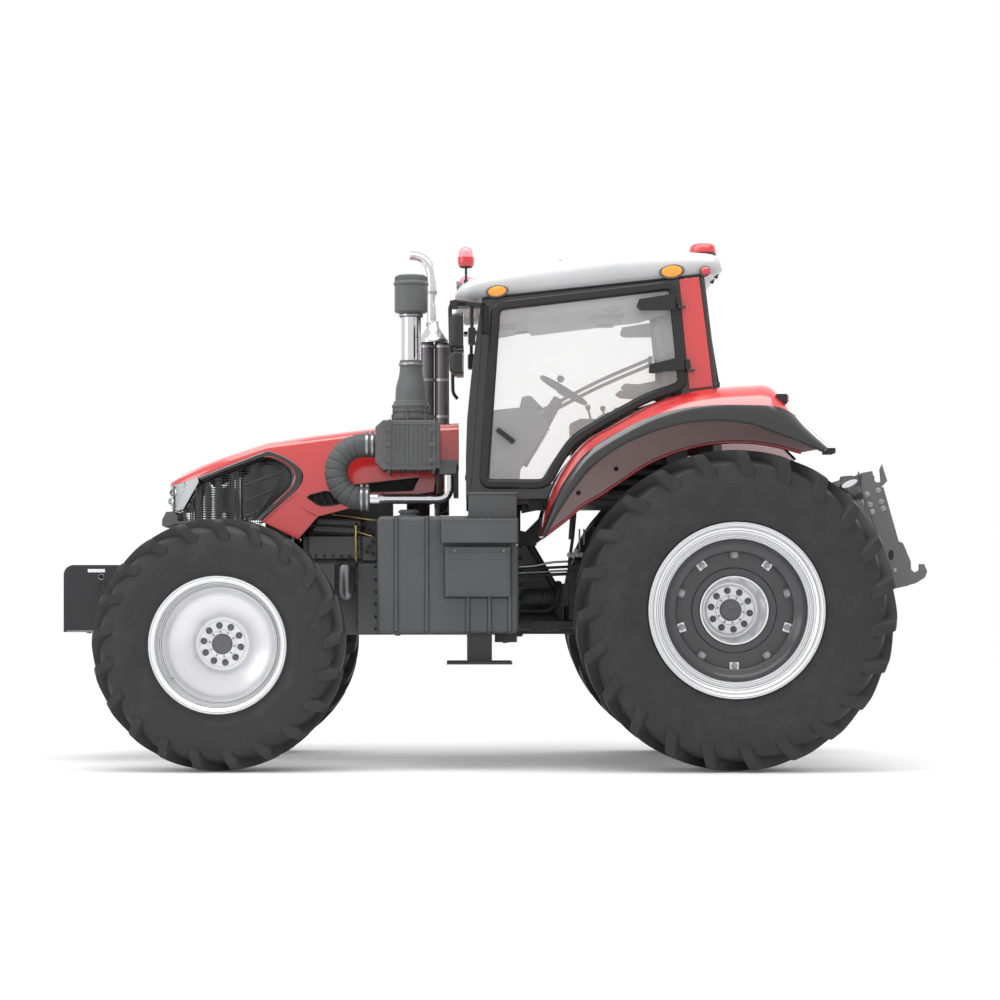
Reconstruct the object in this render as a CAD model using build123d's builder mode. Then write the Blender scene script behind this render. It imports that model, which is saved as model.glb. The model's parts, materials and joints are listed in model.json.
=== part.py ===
from build123d import *
import os
from math import radians, sin

# Farm tractor, millimetres. X forward, Y to the tractor's left, Z up, Z = 0 on the ground.
# Sizes are laid out from a point on the ground just ahead of the rear axle; write() then moves
# every piece so that the row's origin is on the ground at the middle of the tractor's length.

# ---------------------------------------------------------------- overall
front_axle_x = 2912
rear_axle_x = -25
front_reach = 3900              # to the front of the weight carrier
rear_reach = 1207               # back to the end of the hitch hooks
overall_length = rear_reach + front_reach
row_shift = rear_reach - overall_length / 2
running_fit = 0.05              # radial clearance of a pin in its bore
seat_gap = 0.3                  # between pieces that rest on each other
swing_gap = 8                   # beside pieces that turn

# ---------------------------------------------------------------- wheels
rear_tyre_radius = 917.5
rear_tyre_width = 520
rear_tread_width = 476
rear_rim_radius = 480           # bead seat
rear_rim_width = 456
rear_track = 1800
rear_disc_depth = 90            # from the outer rim edge to the disc
rear_hub_depth = 420            # from the outer rim edge to the hub face
rear_cup_radius = 190
front_tyre_radius = 722
front_tyre_width = 430
front_tread_width = 396
front_rim_radius = 356
front_rim_width = 380
front_track = 1840
front_hub_depth = 340
front_hub_radius = 150
rim_wall = 12
rim_flange = 24                 # flange height above the bead seat
plate_wall = 18                 # hub plate of a wheel
shoulder_drop = 34
rear_stub_radius = 60
front_stub_radius = 45
stub_length = 14                # how far a stub axle reaches into its hub plate

# ---------------------------------------------------------------- front axle
kingpin_half = 650              # kingpin to the middle of the tractor
kingpin_radius = 25
axle_tube_radius = 65
swivel_radius = 60
swivel_height = 180
fork_wall = 30
arm_back = 200                  # steering arm's ball behind the kingpin
ball_pin_radius = 12
tie_rod_radius = 13
tie_rod_eye = 28
axle_block = 100                # half length of the axle's centre block
axle_pivot_radius = 35

# ---------------------------------------------------------------- backbone
backbone_half = 230             # engine and front frame
gearbox_half = 200
engine_back = 1200
engine_front = 2480
engine_bottom = 765
engine_top = 1600
engine_shelf = 1500             # its top below the cab
engine_step = 1540              # where it rises, ahead of the cab
gearbox_back = -250
gearbox_bottom = 640
gearbox_step = 420
gearbox_neck = 800              # bottom and top of the neck ahead of the step
gearbox_neck_top = 1110
gearbox_top = 1180
frame_bottom = 830
frame_top = 1040
frame_front = 3540
rail_wall = 80

# ---------------------------------------------------------------- hood
hood_wall = 14
hood_floor = 1300
hood_half = 430
# ahead of the rear axle, half width, height of the top
hood_sections = (
    (1550, hood_half, 2034),
    (2080, hood_half, 2000),
    (2690, hood_half - 15, 1930),
    (3200, hood_half - 90, 1705),
    (3296, hood_half - 130, 1642),
)
hood_corner = 70                # width and height of the rounded upper corners
hood_crown = 22
hood_hinge_x = 1580
hood_hinge_z = 1985
hood_lug_y = 300
hood_pin_radius = 8

# ---------------------------------------------------------------- cab
cab_half = 800
cab_wall = 50
cab_floor_top = 1560
floor_wall = 30
# the cab's outline seen from the side
cab_front_low = (1506, 1560)
cab_front_high = (1413, 2715)
cab_back_high = (133, 2850)
cab_back_low = (-25, 1560)
cab_tail_low = 1400             # bottom of the rear wall between the wheel arches
arch_half = 600                 # inner side of the wheel arches
windscreen_low = 1700
windscreen_high = 2640
rear_window_low = 2240
rear_window_high = 2770
glass_wall = 6
roof_half = 840
roof_gap = 0.3

# ---------------------------------------------------------------- doors
door_wall = 40
door_seal = 6                   # between a door and the cab's side
door_frame = 55
door_over_fender = 12
door_front_high = (1357, 2690)
door_back_high = (293, 2815)
door_back_low = (232, 2225)
door_front_low = (1430, 1619)
hinge_low = (232, 2331)         # on the hinge line
hinge_high = (284, 2696)
hinge_pin_radius = 8
hinge_eye_radius = 16
hinge_eye_length = 50

# ---------------------------------------------------------------- fenders
fender_wall = 20
fender_half = 1120
arch_reach = 940                # the arch's inner wall ends this far from the axle
# the fender's line seen from the side, from its front tip back over the wheel: x, z
fender_inner = ((1086, 1339), (933, 1754), (659, 1985), (350, 2140), (68, 2197), (-225, 2213), (-568, 1857))
fender_outer = ((1076, 1335.1), (890, 1610), (604, 1868), (357, 1963), (98, 1997), (-200, 1948),
                (-541.9, 1813.9))

# ---------------------------------------------------------------- tanks and steps
tank_inner = 500
tank_outer = 950
tank_back = 1202
tank_front = 2017
tank_bottom = 769
tank_top = 1458

# ---------------------------------------------------------------- intake and exhaust
cleaner_back, cleaner_front = 1657, 2035
cleaner_bottom, cleaner_top = 1719, 2016
cleaner_inner, cleaner_outer = 500, 880
hose_radius = 62
hose_bend = 155
hose_top = 1885
hose_end = 2064
duct_bottom = 1702
charge_pipe_radius = 30
stack_x, stack_y = 1825, 690
exhaust_x, exhaust_y = 1703, -620
exhaust_radius = 48

# ---------------------------------------------------------------- hitch
lower_pivot = (-180, 600)
lower_end = (-1090, 1120)
lower_middle = ((lower_pivot[0] + lower_end[0]) / 2, (lower_pivot[1] + lower_end[1]) / 2)
top_pivot = (-295, 1050)
top_end = (-800, 1690)
arm_pivot = (-120, 1300)
arm_end = (-560, 1540)
link_y = 430                    # middle of a lower link
link_wall = 40
link_depth = 70
lift_rod_y = 370
lift_arm_y = 320
cross_pin_radius = 20
hook_pin_radius = 18
lift_pin_radius = 14
open_pin_gap = 4                # round the pin at the lower end of a lift rod
top_pin_radius = 12.5
frame_plate_y = 462             # inner face of a hitch frame plate
frame_plate_wall = 25
drawbar_pin_radius = 16.5

# ---------------------------------------------------------------- boxes: x, x, y, y, z, z
radiator_box = (2560, 2700, -320, 320, frame_top + seat_gap, 1800)
seat_cushion = (230, 740, -250, 250, 1980, 2110)
seat_back = (150, 280, -230, 230, 1990, 2660)
seat_foot = (300, 660, -170, 170, cab_floor_top, 1980 - seat_gap)
side_console = (320, 860, -560, -290, cab_floor_top, 2090)
tank_lid_box = (1213, 1495, 560, 930, tank_top + seat_gap, 1520)
upper_step_box = (1213, 1649, tank_outer + seat_gap, 1020, 1292, 1441)
lower_step_box = (1253, 1627, tank_outer + seat_gap, 990, 993, 1280)
step_hanger = (1357, 1500, 700, 900, 621, tank_bottom - seat_gap)
step_plate = (1242, 1615, 640, 1000, 609, 621)
mirror_box = (1512, 1600, 960, 1140, 2260, 2640)
drawbar_bar = (-800, -150, -40, 40, 440, 480)
drawbar_hanger = (-240, -160, -60, 60, 480, 560 - seat_gap)
top_case = (gearbox_back, 100, -150, 150, gearbox_top, 1380)
cowl_box = (hood_hinge_x - 28, hood_hinge_x + 2, -380, 380, engine_top + seat_gap, 1900)
nose_opening = (3150, 3350, -250, 250, 1460, 1590)

# ---------------------------------------------------------------- side views: x, z
roof_outline = ((1569, 2752), (1480, 2727), (1413, 2715 + roof_gap), (133, 2850 + roof_gap), (30, 2880),
                (19, 2941), (109, 2990), (311, 2997), (872, 2955), (1344, 2880), (1479, 2847))
hood_lower_cut = ((1500, 1200), (1500, 1615), (1690, 1615), (2223, 1537), (2400, 1440), (2489, 1329),
                  (2560, 1329), (2700, 1450), (3400, 1450), (3400, 1200))
grille_outline = ((3110, 1626), (2699, 1846), (2477, 1744), (2714, 1460), (3060, 1460))
lamp_outline = ((3330, 1585), (3170, 1700), (3125, 1660), (3125, 1500), (3330, 1480))
dash_outline = ((1440, cab_floor_top), (1380, 2090), (1120, 2128), (1000, 2010), (1180, cab_floor_top))
gearbox_neck_outline = ((gearbox_step, gearbox_neck), (engine_back, gearbox_neck), (engine_back, 1340),
                        (1060, 1340), (800, gearbox_neck_top), (gearbox_step, gearbox_neck_top))
hitch_outline = ((-1027, 1043), (-1140, 1073), (-1194, 1107), (-rear_reach, 1142), (-1189, 1186),
                 (-1160, 1186), (-1159, 1150), (-1135, 1137), (-1112, 1150), (-1110, 1200), (-1065, 1309),
                 (-1021, 1329), (-938, 1639), (-972, 1674), (-941, 1772), (-928, 1743), (-934, 1672), (-917, 1665),
                 (-900, 1672), (-883, 1733), (-820, 1722), (-820, 1615), (-985, 1180))

# ---------------------------------------------------------------- smaller parts
carrier_half, carrier_wall = 300, 20
carrier_low, carrier_high = 783, 1182
carrier_round = 60              # radius of its front upper edge
carrier_hole_radius = 14
tow_pin_radius = 16.5
pto_radius = 22.2
pto_height = 700
axle_clamp = 60                 # half length of the block that holds the rear hitch pins
dash_half = 330
column_radius = 30
wheel_hub = (918, 2237)         # steering wheel
column_foot = (1180, 1800)
steering_ring = (165, 140)      # outer and inner radius
duct_back = 1560
charge_bend_x, charge_bend = 1607, 55
pipe_back, pipe_front = exhaust_x - 45, exhaust_x + 50
silencer_top = 2586
tail_radius, tail_bend = 30, 160
mirror_arm_radius = 12
lamp_post = (1506, 750)         # marker lamps
lamp_radius, lamp_height = 44, 110
beacon_place = (105, 400, 2993.2)
beacon_radius, beacon_height = 85, 88
cross_rod = (-1070, 1215, 12)   # hitch frame: x, z, radius
cross_tube = (-885, 1610, 32)
# radius, height of the intake stack from the box up
stack_profile = ((112, cleaner_top + seat_gap), (112, 2126), (93, 2127), (64, 2359), (58, 2360), (58, 2640),
                 (98, 2641), (98, 2864))


def block(x0, x1, y0, y1, z0, z1, mode=Mode.ADD):
    # a box between two corners
    with Locations(((x0 + x1) / 2, (y0 + y1) / 2, (z0 + z1) / 2)):
        Box(x1 - x0, y1 - y0, z1 - z0, mode=mode)


def band(y0, y1, r0, r1):
    # a rectangle of a wheel's section, between two offsets and two radii
    with Locations(((y0 + y1) / 2, (r0 + r1) / 2)):
        Rectangle(y1 - y0, r1 - r0)


def rod(start, end, radius, mode=Mode.ADD):
    # a round bar between two points
    way = Vector(*end) - Vector(*start)
    with BuildSketch(Plane(origin=start, z_dir=way)) as end_face:
        Circle(radius)
    extrude(end_face.sketch, amount=way.length, mode=mode)


def wheel_plane(x, y, z):
    # local x is +Y, local y is the radius
    return Plane(origin=(x, y, z), x_dir=(0, 1, 0), z_dir=(1, 0, 0))


def write(piece, name):
    placed = piece.part.moved(Location((row_shift, 0, 0)))
    placed.label = name
    export_step(placed, f"parts/{name}.step")


def write_pair(left, name):
    write(left, name + "_left")
    with BuildPart() as right:
        mirror(left.part, about=Plane.XZ)
    write(right, name + "_right")


# ---------------------------------------------------------------- wheels
def tyre(x, track, radius, width, tread, rim_radius, rim_width, name):
    bead = rim_width / 2 - rim_wall - seat_gap
    low = rim_radius + seat_gap
    collar = rim_radius + rim_flange
    shoulder = radius - shoulder_drop
    belly = (collar + shoulder) / 2
    edge = tread / 2 - shoulder_drop
    with BuildPart() as ring:
        with BuildSketch(wheel_plane(x, track / 2, radius)):
            with BuildLine():
                Polyline((-bead, collar), (-bead, low), (bead, low), (bead, collar))
                ThreePointArc((bead, collar), (width / 2, belly), (tread / 2, shoulder))
                Line((tread / 2, shoulder), (edge, radius - 6))
                ThreePointArc((edge, radius - 6), (0, radius), (-edge, radius - 6))
                Line((-edge, radius - 6), (-tread / 2, shoulder))
                ThreePointArc((-tread / 2, shoulder), (-width / 2, belly), (-bead, collar))
            make_face()
        revolve(axis=Axis((x, 0, radius), (0, 1, 0)))
    write_pair(ring, name)


def rim_barrel(rim_radius, rim_width):
    half = rim_width / 2
    band(-half, half, rim_radius - rim_wall, rim_radius)
    band(half - rim_wall, half, rim_radius - rim_wall, rim_radius + rim_flange)
    band(-half, rim_wall - half, rim_radius - rim_wall, rim_radius + rim_flange)


def rear_rim():
    half = rear_rim_width / 2
    disc = half - rear_disc_depth
    hub = half - rear_hub_depth
    bore = rear_stub_radius + running_fit
    with BuildPart() as wheel:
        with BuildSketch(wheel_plane(rear_axle_x, rear_track / 2, rear_tyre_radius)):
            rim_barrel(rear_rim_radius, rear_rim_width)
            band(disc - rim_wall, disc, rear_cup_radius - rim_wall, rear_rim_radius - rim_wall / 2)
            band(hub - plate_wall, disc, rear_cup_radius - rim_wall, rear_cup_radius)
            band(hub - plate_wall, hub, bore, rear_cup_radius)
        revolve(axis=Axis((rear_axle_x, 0, rear_tyre_radius), (0, 1, 0)))
    write_pair(wheel, "rear_rim")


def front_rim():
    half = front_rim_width / 2
    hub = half - front_hub_depth
    inner = front_rim_radius - rim_wall
    step = 60
    bore = front_stub_radius + running_fit
    with BuildPart() as wheel:
        with BuildSketch(wheel_plane(front_axle_x, front_track / 2, front_tyre_radius)):
            rim_barrel(front_rim_radius, front_rim_width)
            band(hub - plate_wall, hub, bore, front_hub_radius + rim_wall)
            with BuildLine():
                Polyline(
                    (hub + step, inner + rim_wall / 2),
                    (hub + step - rim_wall, inner + rim_wall / 2),
                    (hub - plate_wall, front_hub_radius),
                    (hub, front_hub_radius),
                    (hub + step, inner - rim_wall),
                    close=True,
                )
            make_face()
        revolve(axis=Axis((front_axle_x, 0, front_tyre_radius), (0, 1, 0)))
    write_pair(wheel, "front_rim")


# ---------------------------------------------------------------- front axle
def front_axle():
    z = front_tyre_radius
    with BuildPart() as axle:
        block(front_axle_x - axle_block, front_axle_x + axle_block, -150, 150, z - 90, z + 90)
        rod((front_axle_x, -kingpin_half, z), (front_axle_x, kingpin_half, z), axle_tube_radius)
        with Locations((front_axle_x, kingpin_half, z), (front_axle_x, -kingpin_half, z)):
            Cylinder(swivel_radius, swivel_height)
            Cylinder(kingpin_radius + running_fit, swivel_height, mode=Mode.SUBTRACT)
        pin = axle_block + 45
        rod((front_axle_x - pin, 0, z), (front_axle_x + pin, 0, z), axle_pivot_radius)
    write(axle, "front_axle")


def knuckle():
    z = front_tyre_radius
    low = swivel_height / 2 + seat_gap
    top = low + fork_wall
    web = kingpin_half + swivel_radius + swing_gap
    hub_back = front_track / 2 + front_rim_width / 2 - front_hub_depth - plate_wall
    flange = hub_back - 2
    with BuildPart() as fork:
        for side in (1, -1):
            z0, z1 = sorted((z + side * low, z + side * top))
            with Locations((front_axle_x, kingpin_half, (z0 + z1) / 2)):
                Cylinder(swivel_radius, fork_wall)
            block(front_axle_x - 50, front_axle_x + 50, kingpin_half, flange - 10, z0, z1)
            rod((front_axle_x, kingpin_half, z + side * 40), (front_axle_x, kingpin_half, z + side * top),
                kingpin_radius)
        block(front_axle_x - 80, front_axle_x + 80, web, flange - 10, z - top, z + top)
        rod((front_axle_x, flange - 10, z), (front_axle_x, flange, z), 110)
        rod((front_axle_x, web, z), (front_axle_x, hub_back + stub_length, z), front_stub_radius)
        ball = (front_axle_x - arm_back, kingpin_half)
        with BuildSketch(Plane.XY.offset(z - top)):
            with BuildLine():
                Polyline(
                    (front_axle_x, kingpin_half + 50),
                    (ball[0], ball[1] + tie_rod_eye),
                    (ball[0], ball[1] - tie_rod_eye),
                    (front_axle_x, kingpin_half - 50),
                    close=True,
                )
            make_face()
            with Locations(ball):
                Circle(tie_rod_eye)
        extrude(amount=fork_wall)
        with Locations((ball[0], ball[1], z - top)):
            Cylinder(ball_pin_radius + running_fit, 3 * fork_wall, mode=Mode.SUBTRACT)
    write_pair(fork, "steering_knuckle")


def tie_rod():
    z = front_tyre_radius - swivel_height / 2 - fork_wall - 2 * seat_gap
    x = front_axle_x - arm_back
    y = kingpin_half
    thick = 2 * tie_rod_radius + 6
    with BuildPart() as bar:
        rod((x, -y, z - thick / 2), (x, y, z - thick / 2), tie_rod_radius)
        with Locations((x, y, z - thick / 2), (x, -y, z - thick / 2)):
            Cylinder(tie_rod_eye, thick)
        with Locations((x, y, z), (x, -y, z)):
            Cylinder(ball_pin_radius, fork_wall, align=(Align.CENTER, Align.CENTER, Align.MIN))
    write(bar, "tie_rod")


# ---------------------------------------------------------------- backbone
def engine_block():
    with BuildPart() as engine:
        block(engine_back, engine_front, -backbone_half, backbone_half, engine_bottom, engine_shelf)
        block(engine_step, engine_front, -backbone_half, backbone_half, engine_shelf, engine_top)
    write(engine, "engine_block")


def gearbox():
    with BuildPart() as case:
        block(gearbox_back, gearbox_step, -gearbox_half, gearbox_half, gearbox_bottom, gearbox_top)
        side_cut(gearbox_neck_outline, gearbox_half, mode=Mode.ADD)
        rod((gearbox_back - 90, 0, pto_height), (gearbox_back, 0, pto_height), pto_radius)
        block(*top_case)
        block(lower_pivot[0] - axle_clamp, lower_pivot[0] + axle_clamp, -gearbox_half, gearbox_half, 560,
              gearbox_bottom)
        x, z = lower_pivot
        rod((x, -link_y - 40, z), (x, link_y + 40, z), cross_pin_radius)
        x, z = arm_pivot
        rod((x, -150, z), (x, 150, z), 40 + running_fit, mode=Mode.SUBTRACT)
        x, z = top_pivot
        for side in (-1, 1):
            y0, y1 = sorted((side * 21, side * 39))
            block(x - 25, gearbox_back, y0, y1, z - 40, z + 40)
        rod((x, -39, z), (x, 39, z), top_pin_radius)
    write(case, "transmission_housing")


def rear_axle_housing():
    hub_back = rear_track / 2 + rear_rim_width / 2 - rear_hub_depth - plate_wall
    flange = hub_back - 10
    with BuildPart() as trumpet:
        with BuildSketch(wheel_plane(rear_axle_x, 0, rear_tyre_radius)):
            with BuildLine():
                Polyline(
                    (gearbox_half, 0),
                    (gearbox_half, 190),
                    (gearbox_half + 60, 190),
                    (flange - 110, 120),
                    (flange - 30, 120),
                    (flange - 30, 165),
                    (flange, 165),
                    (flange, rear_stub_radius),
                    (hub_back + stub_length, rear_stub_radius),
                    (hub_back + stub_length, 0),
                    close=True,
                )
            make_face()
        revolve(axis=Axis((rear_axle_x, 0, rear_tyre_radius), (0, 1, 0)))
        mirror(about=Plane.XZ)
    write(trumpet, "rear_axle_housing")


def front_frame():
    z = front_tyre_radius
    ear = axle_block + 1
    with BuildPart() as frame:
        block(engine_front, frame_front, -backbone_half, backbone_half, frame_bottom, frame_top)
        inner = backbone_half - rail_wall
        block(engine_front + rail_wall, frame_front - rail_wall, -inner, inner, frame_bottom, frame_top,
              mode=Mode.SUBTRACT)
        for x in (front_axle_x - ear - 30, front_axle_x + ear):
            block(x, x + 30, -inner, inner, z - 60, frame_top)
        for x in (front_axle_x - ear - 30, front_axle_x + ear):
            rod((x, 0, z), (x + 30, 0, z), axle_pivot_radius + running_fit, mode=Mode.SUBTRACT)
    write(frame, "front_frame")


def weight_carrier():
    half, wall = carrier_half, carrier_wall
    low, high = carrier_low, carrier_high
    front = front_reach
    turn = front - carrier_round
    with BuildPart() as carrier:
        with BuildSketch(Plane.XZ):
            with BuildLine():
                Polyline((frame_front, low), (front, low), (front, high - carrier_round))
                RadiusArc((front, high - carrier_round), (turn, high), -carrier_round)
                Polyline((turn, high), (frame_front, high), (frame_front, low))
            make_face()
        extrude(amount=half, both=True)
        block(frame_front + wall, front - 2 * wall, wall - half, half - wall, low + wall, high + wall,
              mode=Mode.SUBTRACT)
        for x, z in ((front - 165, 1146), (front - 225, 1111)):
            rod((x, -half, z), (x, half, z), carrier_hole_radius, mode=Mode.SUBTRACT)
        with Locations((front - 110, 0, low)):
            Cylinder(tow_pin_radius, 3 * wall, mode=Mode.SUBTRACT)
    write(carrier, "weight_carrier")


def radiator():
    with BuildPart() as core:
        block(*radiator_box)
    write(core, "radiator")


# ---------------------------------------------------------------- hood
def hood_form(inset, tail, mode=Mode.ADD):
    # the hood's solid shape, drawn in from its outer skin by inset; tail lengthens it backwards
    last = len(hood_sections) - 1
    sections = []
    for number, (x, half, top) in enumerate(hood_sections):
        x = x - tail if number == 0 else x - inset if number == last else x
        half = half - inset
        top = top - inset
        shelf = top - hood_crown
        side = shelf - hood_corner
        with BuildSketch(Plane.YZ.offset(x)) as section:
            with BuildLine():
                inner = half - hood_corner
                bulge = hood_corner * sin(radians(45))
                Polyline((half, side), (half, hood_floor), (-half, hood_floor), (-half, side))
                ThreePointArc((-half, side), (-inner - bulge, side + bulge), (-inner, shelf))
                ThreePointArc((-inner, shelf), (0, top), (inner, shelf))
                ThreePointArc((inner, shelf), (inner + bulge, side + bulge), (half, side))
            make_face()
        sections.append(section.sketch)
    loft(sections, ruled=True, mode=mode)


def side_cut(points, half=1200, mode=Mode.SUBTRACT):
    with BuildSketch(Plane.XZ) as outline:
        with BuildLine():
            Polyline(*points, close=True)
        make_face()
    extrude(outline.sketch, amount=half, both=True, mode=mode)


def hood():
    with BuildPart() as shell:
        hood_form(0, 0)
        hood_form(hood_wall, hood_wall, mode=Mode.SUBTRACT)
        side_cut(hood_lower_cut)
        side_cut(grille_outline)
        side_cut(lamp_outline)
        block(*nose_opening, mode=Mode.SUBTRACT)
        x, z = hood_hinge_x, hood_hinge_z
        for side in (-1, 1):
            y0, y1 = sorted((side * (hood_lug_y + 2), side * (hood_lug_y + 14)))
            block(x - 14, x + 14, y0, y1, z, z + 28)
            rod((x, y0, z), (x, y1, z), 14)
            rod((x, y0, z), (x, y1, z), hood_pin_radius + running_fit, mode=Mode.SUBTRACT)
    write(shell, "hood")


def cowl_frame():
    # the bulkhead behind the engine that carries the hood's hinge
    x, z = hood_hinge_x, hood_hinge_z
    with BuildPart() as cowl:
        block(*cowl_box)
        for side in (-1, 1):
            y0, y1 = sorted((side * hood_lug_y, side * (hood_lug_y - 12)))
            block(x - 12, x + 12, y0, y1, cowl_box[5], z)
            rod((x, y0, z), (x, y1, z), 14)
            rod((x, side * (hood_lug_y - 12), z), (x, side * (hood_lug_y + 24), z), hood_pin_radius)
    write(cowl, "cowl_frame")


def hood_skin(outline, name):
    # a thin panel that fills an opening in the hood's sides
    with BuildPart() as panel:
        hood_form(4, 0)
        hood_form(hood_wall - 2, hood_wall, mode=Mode.SUBTRACT)
        side_cut(outline, mode=Mode.INTERSECT)
        block(2000, 3400, -90, 90, 1200, 2200, mode=Mode.SUBTRACT)
    write(panel, name)


# ---------------------------------------------------------------- fenders
def about_axle(point, change):
    # moves a point of the side view away from the rear axle by change
    x, z = point[0], point[1] - rear_tyre_radius
    reach = (x * x + z * z) ** 0.5
    return (x * (1 + change / reach), rear_tyre_radius + z * (1 + change / reach))


def fender_face(line, y, change):
    # the area under a fender's line, down to the rear axle
    tip, rise, knee, brow, crest, back, end = [about_axle(point, change) for point in line]
    with BuildSketch(Plane.XZ.offset(-y)) as face:
        with BuildLine():
            ThreePointArc(tip, rise, knee)
            ThreePointArc(knee, brow, crest)
            Polyline(crest, back, end, (0, rear_tyre_radius), tip)
        make_face()
    return face.sketch


def fender_zone(change):
    # the space that the left fender and arch take up, cut from the cab
    zone = fender_face(fender_inner, arch_half - seat_gap, change)
    extrude(zone, amount=-fender_half, mode=Mode.SUBTRACT)
    zone = fender_face(fender_inner, seat_gap - arch_half, change)
    extrude(zone, amount=fender_half, mode=Mode.SUBTRACT)


def fenders():
    with BuildPart() as arch:
        for change, mode in ((0, Mode.ADD), (-fender_wall, Mode.SUBTRACT)):
            inner = fender_face(fender_inner, cab_half, change)
            outer = fender_face(fender_outer, fender_half, change)
            loft((inner, outer), ruled=True, mode=mode)
            extrude(fender_face(fender_inner, arch_half, change), amount=arch_half - cab_half, mode=mode)
        extrude(fender_face(fender_inner, arch_half, 0), amount=-fender_wall)
        rod((0, arch_half - 50, rear_tyre_radius), (0, fender_half + 50, rear_tyre_radius), arch_reach,
            mode=Mode.SUBTRACT)
        mirror(about=Plane.XZ)
    write(arch, "fenders")


# ---------------------------------------------------------------- cab
def cab_side(change):
    # the cab's outline drawn in by change
    (fx, fz), (tx, tz), (bx, bz), (ex, ez) = cab_front_low, cab_front_high, cab_back_high, cab_back_low
    front_lean = (tx - fx) / (tz - fz)
    back_lean = (bx - ex) / (bz - ez)
    deep = 10 * change
    return ((fx - change - deep * front_lean, fz - deep), (tx - change - change * front_lean, tz - change),
            (bx + change - change * back_lean, bz - change), (ex + change - deep * back_lean, ez - deep))


def cab_frame():
    with BuildPart() as cage:
        side_cut(cab_side(0), cab_half, mode=Mode.ADD)
        block(cab_back_low[0] - 20, cab_back_low[0] + cab_wall, -arch_half, arch_half, cab_tail_low,
              cab_back_low[1])
        side_cut(cab_side(cab_wall), cab_half - cab_wall)
        with BuildSketch(Plane.XZ) as opening:
            with BuildLine():
                Polyline(door_front_low, door_front_high, door_back_high, door_back_low,
                         (door_back_low[0], door_front_low[1]), close=True)
            make_face()
            offset(amount=-door_frame / 2, kind=Kind.INTERSECTION)
        extrude(opening.sketch, amount=cab_half + 10, both=True, mode=Mode.SUBTRACT)
        glass_half = cab_half - cab_wall - 20
        block(1250, 1700, -glass_half, glass_half, windscreen_low, windscreen_high, mode=Mode.SUBTRACT)
        block(-200, 250, -glass_half, glass_half, rear_window_low, rear_window_high, mode=Mode.SUBTRACT)
        fender_zone(seat_gap)
        for x, z in (hinge_low, hinge_high):
            rise = hinge_eye_length / 2 + 4
            lean = (hinge_high[0] - hinge_low[0]) / (hinge_high[1] - hinge_low[1])
            foot = (x - lean * rise, z - rise)
            y = cab_half + door_seal + door_wall + hinge_eye_radius
            for side in (1, -1):
                rod((foot[0], side * y, foot[1]), (x + lean * rise, side * y, z + rise), hinge_pin_radius)
                near, far = cab_half, y + hinge_pin_radius
                low, high = sorted((side * near, side * far))
                block(foot[0] - 36, foot[0] - 10, low, high, foot[1] - 14, foot[1])
                low, high = sorted((side * (far - 2 * hinge_pin_radius), side * far))
                block(foot[0] - 12, foot[0] + hinge_pin_radius, low, high, foot[1] - 14, foot[1])
    write(cage, "cab_frame")


def cab_floor():
    low = cab_floor_top - floor_wall
    with BuildPart() as floor:
        block(cab_back_low[0] + cab_wall + 10, cab_front_low[0], seat_gap - arch_half, arch_half - seat_gap,
              low, cab_floor_top - seat_gap)
        block(1140, cab_front_low[0], -cab_half, cab_half, low, cab_floor_top - seat_gap)
        for x, foot in ((180, gearbox_top), (1130, 1340)):
            for y in (-150, 150):
                block(x - 60, x + 60, y - 50, y + 50, foot, low)
    write(floor, "cab_floor")


def cab_glass():
    inset = 22
    half = cab_half - cab_wall - 20 - seat_gap
    with BuildPart() as panes:
        for low, high, near, far, side in (
            (windscreen_low, windscreen_high, cab_front_low, cab_front_high, -1),
            (rear_window_low, rear_window_high, cab_back_low, cab_back_high, 1),
        ):
            lean = (far[0] - near[0]) / (far[1] - near[1])
            z0, z1 = low + seat_gap, high - seat_gap
            x0 = near[0] + lean * (z0 - near[1]) + side * inset
            x1 = near[0] + lean * (z1 - near[1]) + side * inset
            side_cut(((x0, z0), (x1, z1), (x1 + side * glass_wall, z1), (x0 + side * glass_wall, z0)), half,
                     mode=Mode.ADD)
    write(panes, "cab_glass")


def roof():
    with BuildPart() as cap:
        side_cut(roof_outline, roof_half, mode=Mode.ADD)
        top = cap.edges().filter_by(Axis.Y, reverse=True).filter_by(
            lambda edge: abs(abs(edge.center().Y) - roof_half) < 1 and edge.center().Z > 2900)
        chamfer(top, 45)
    write(cap, "roof")


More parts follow.
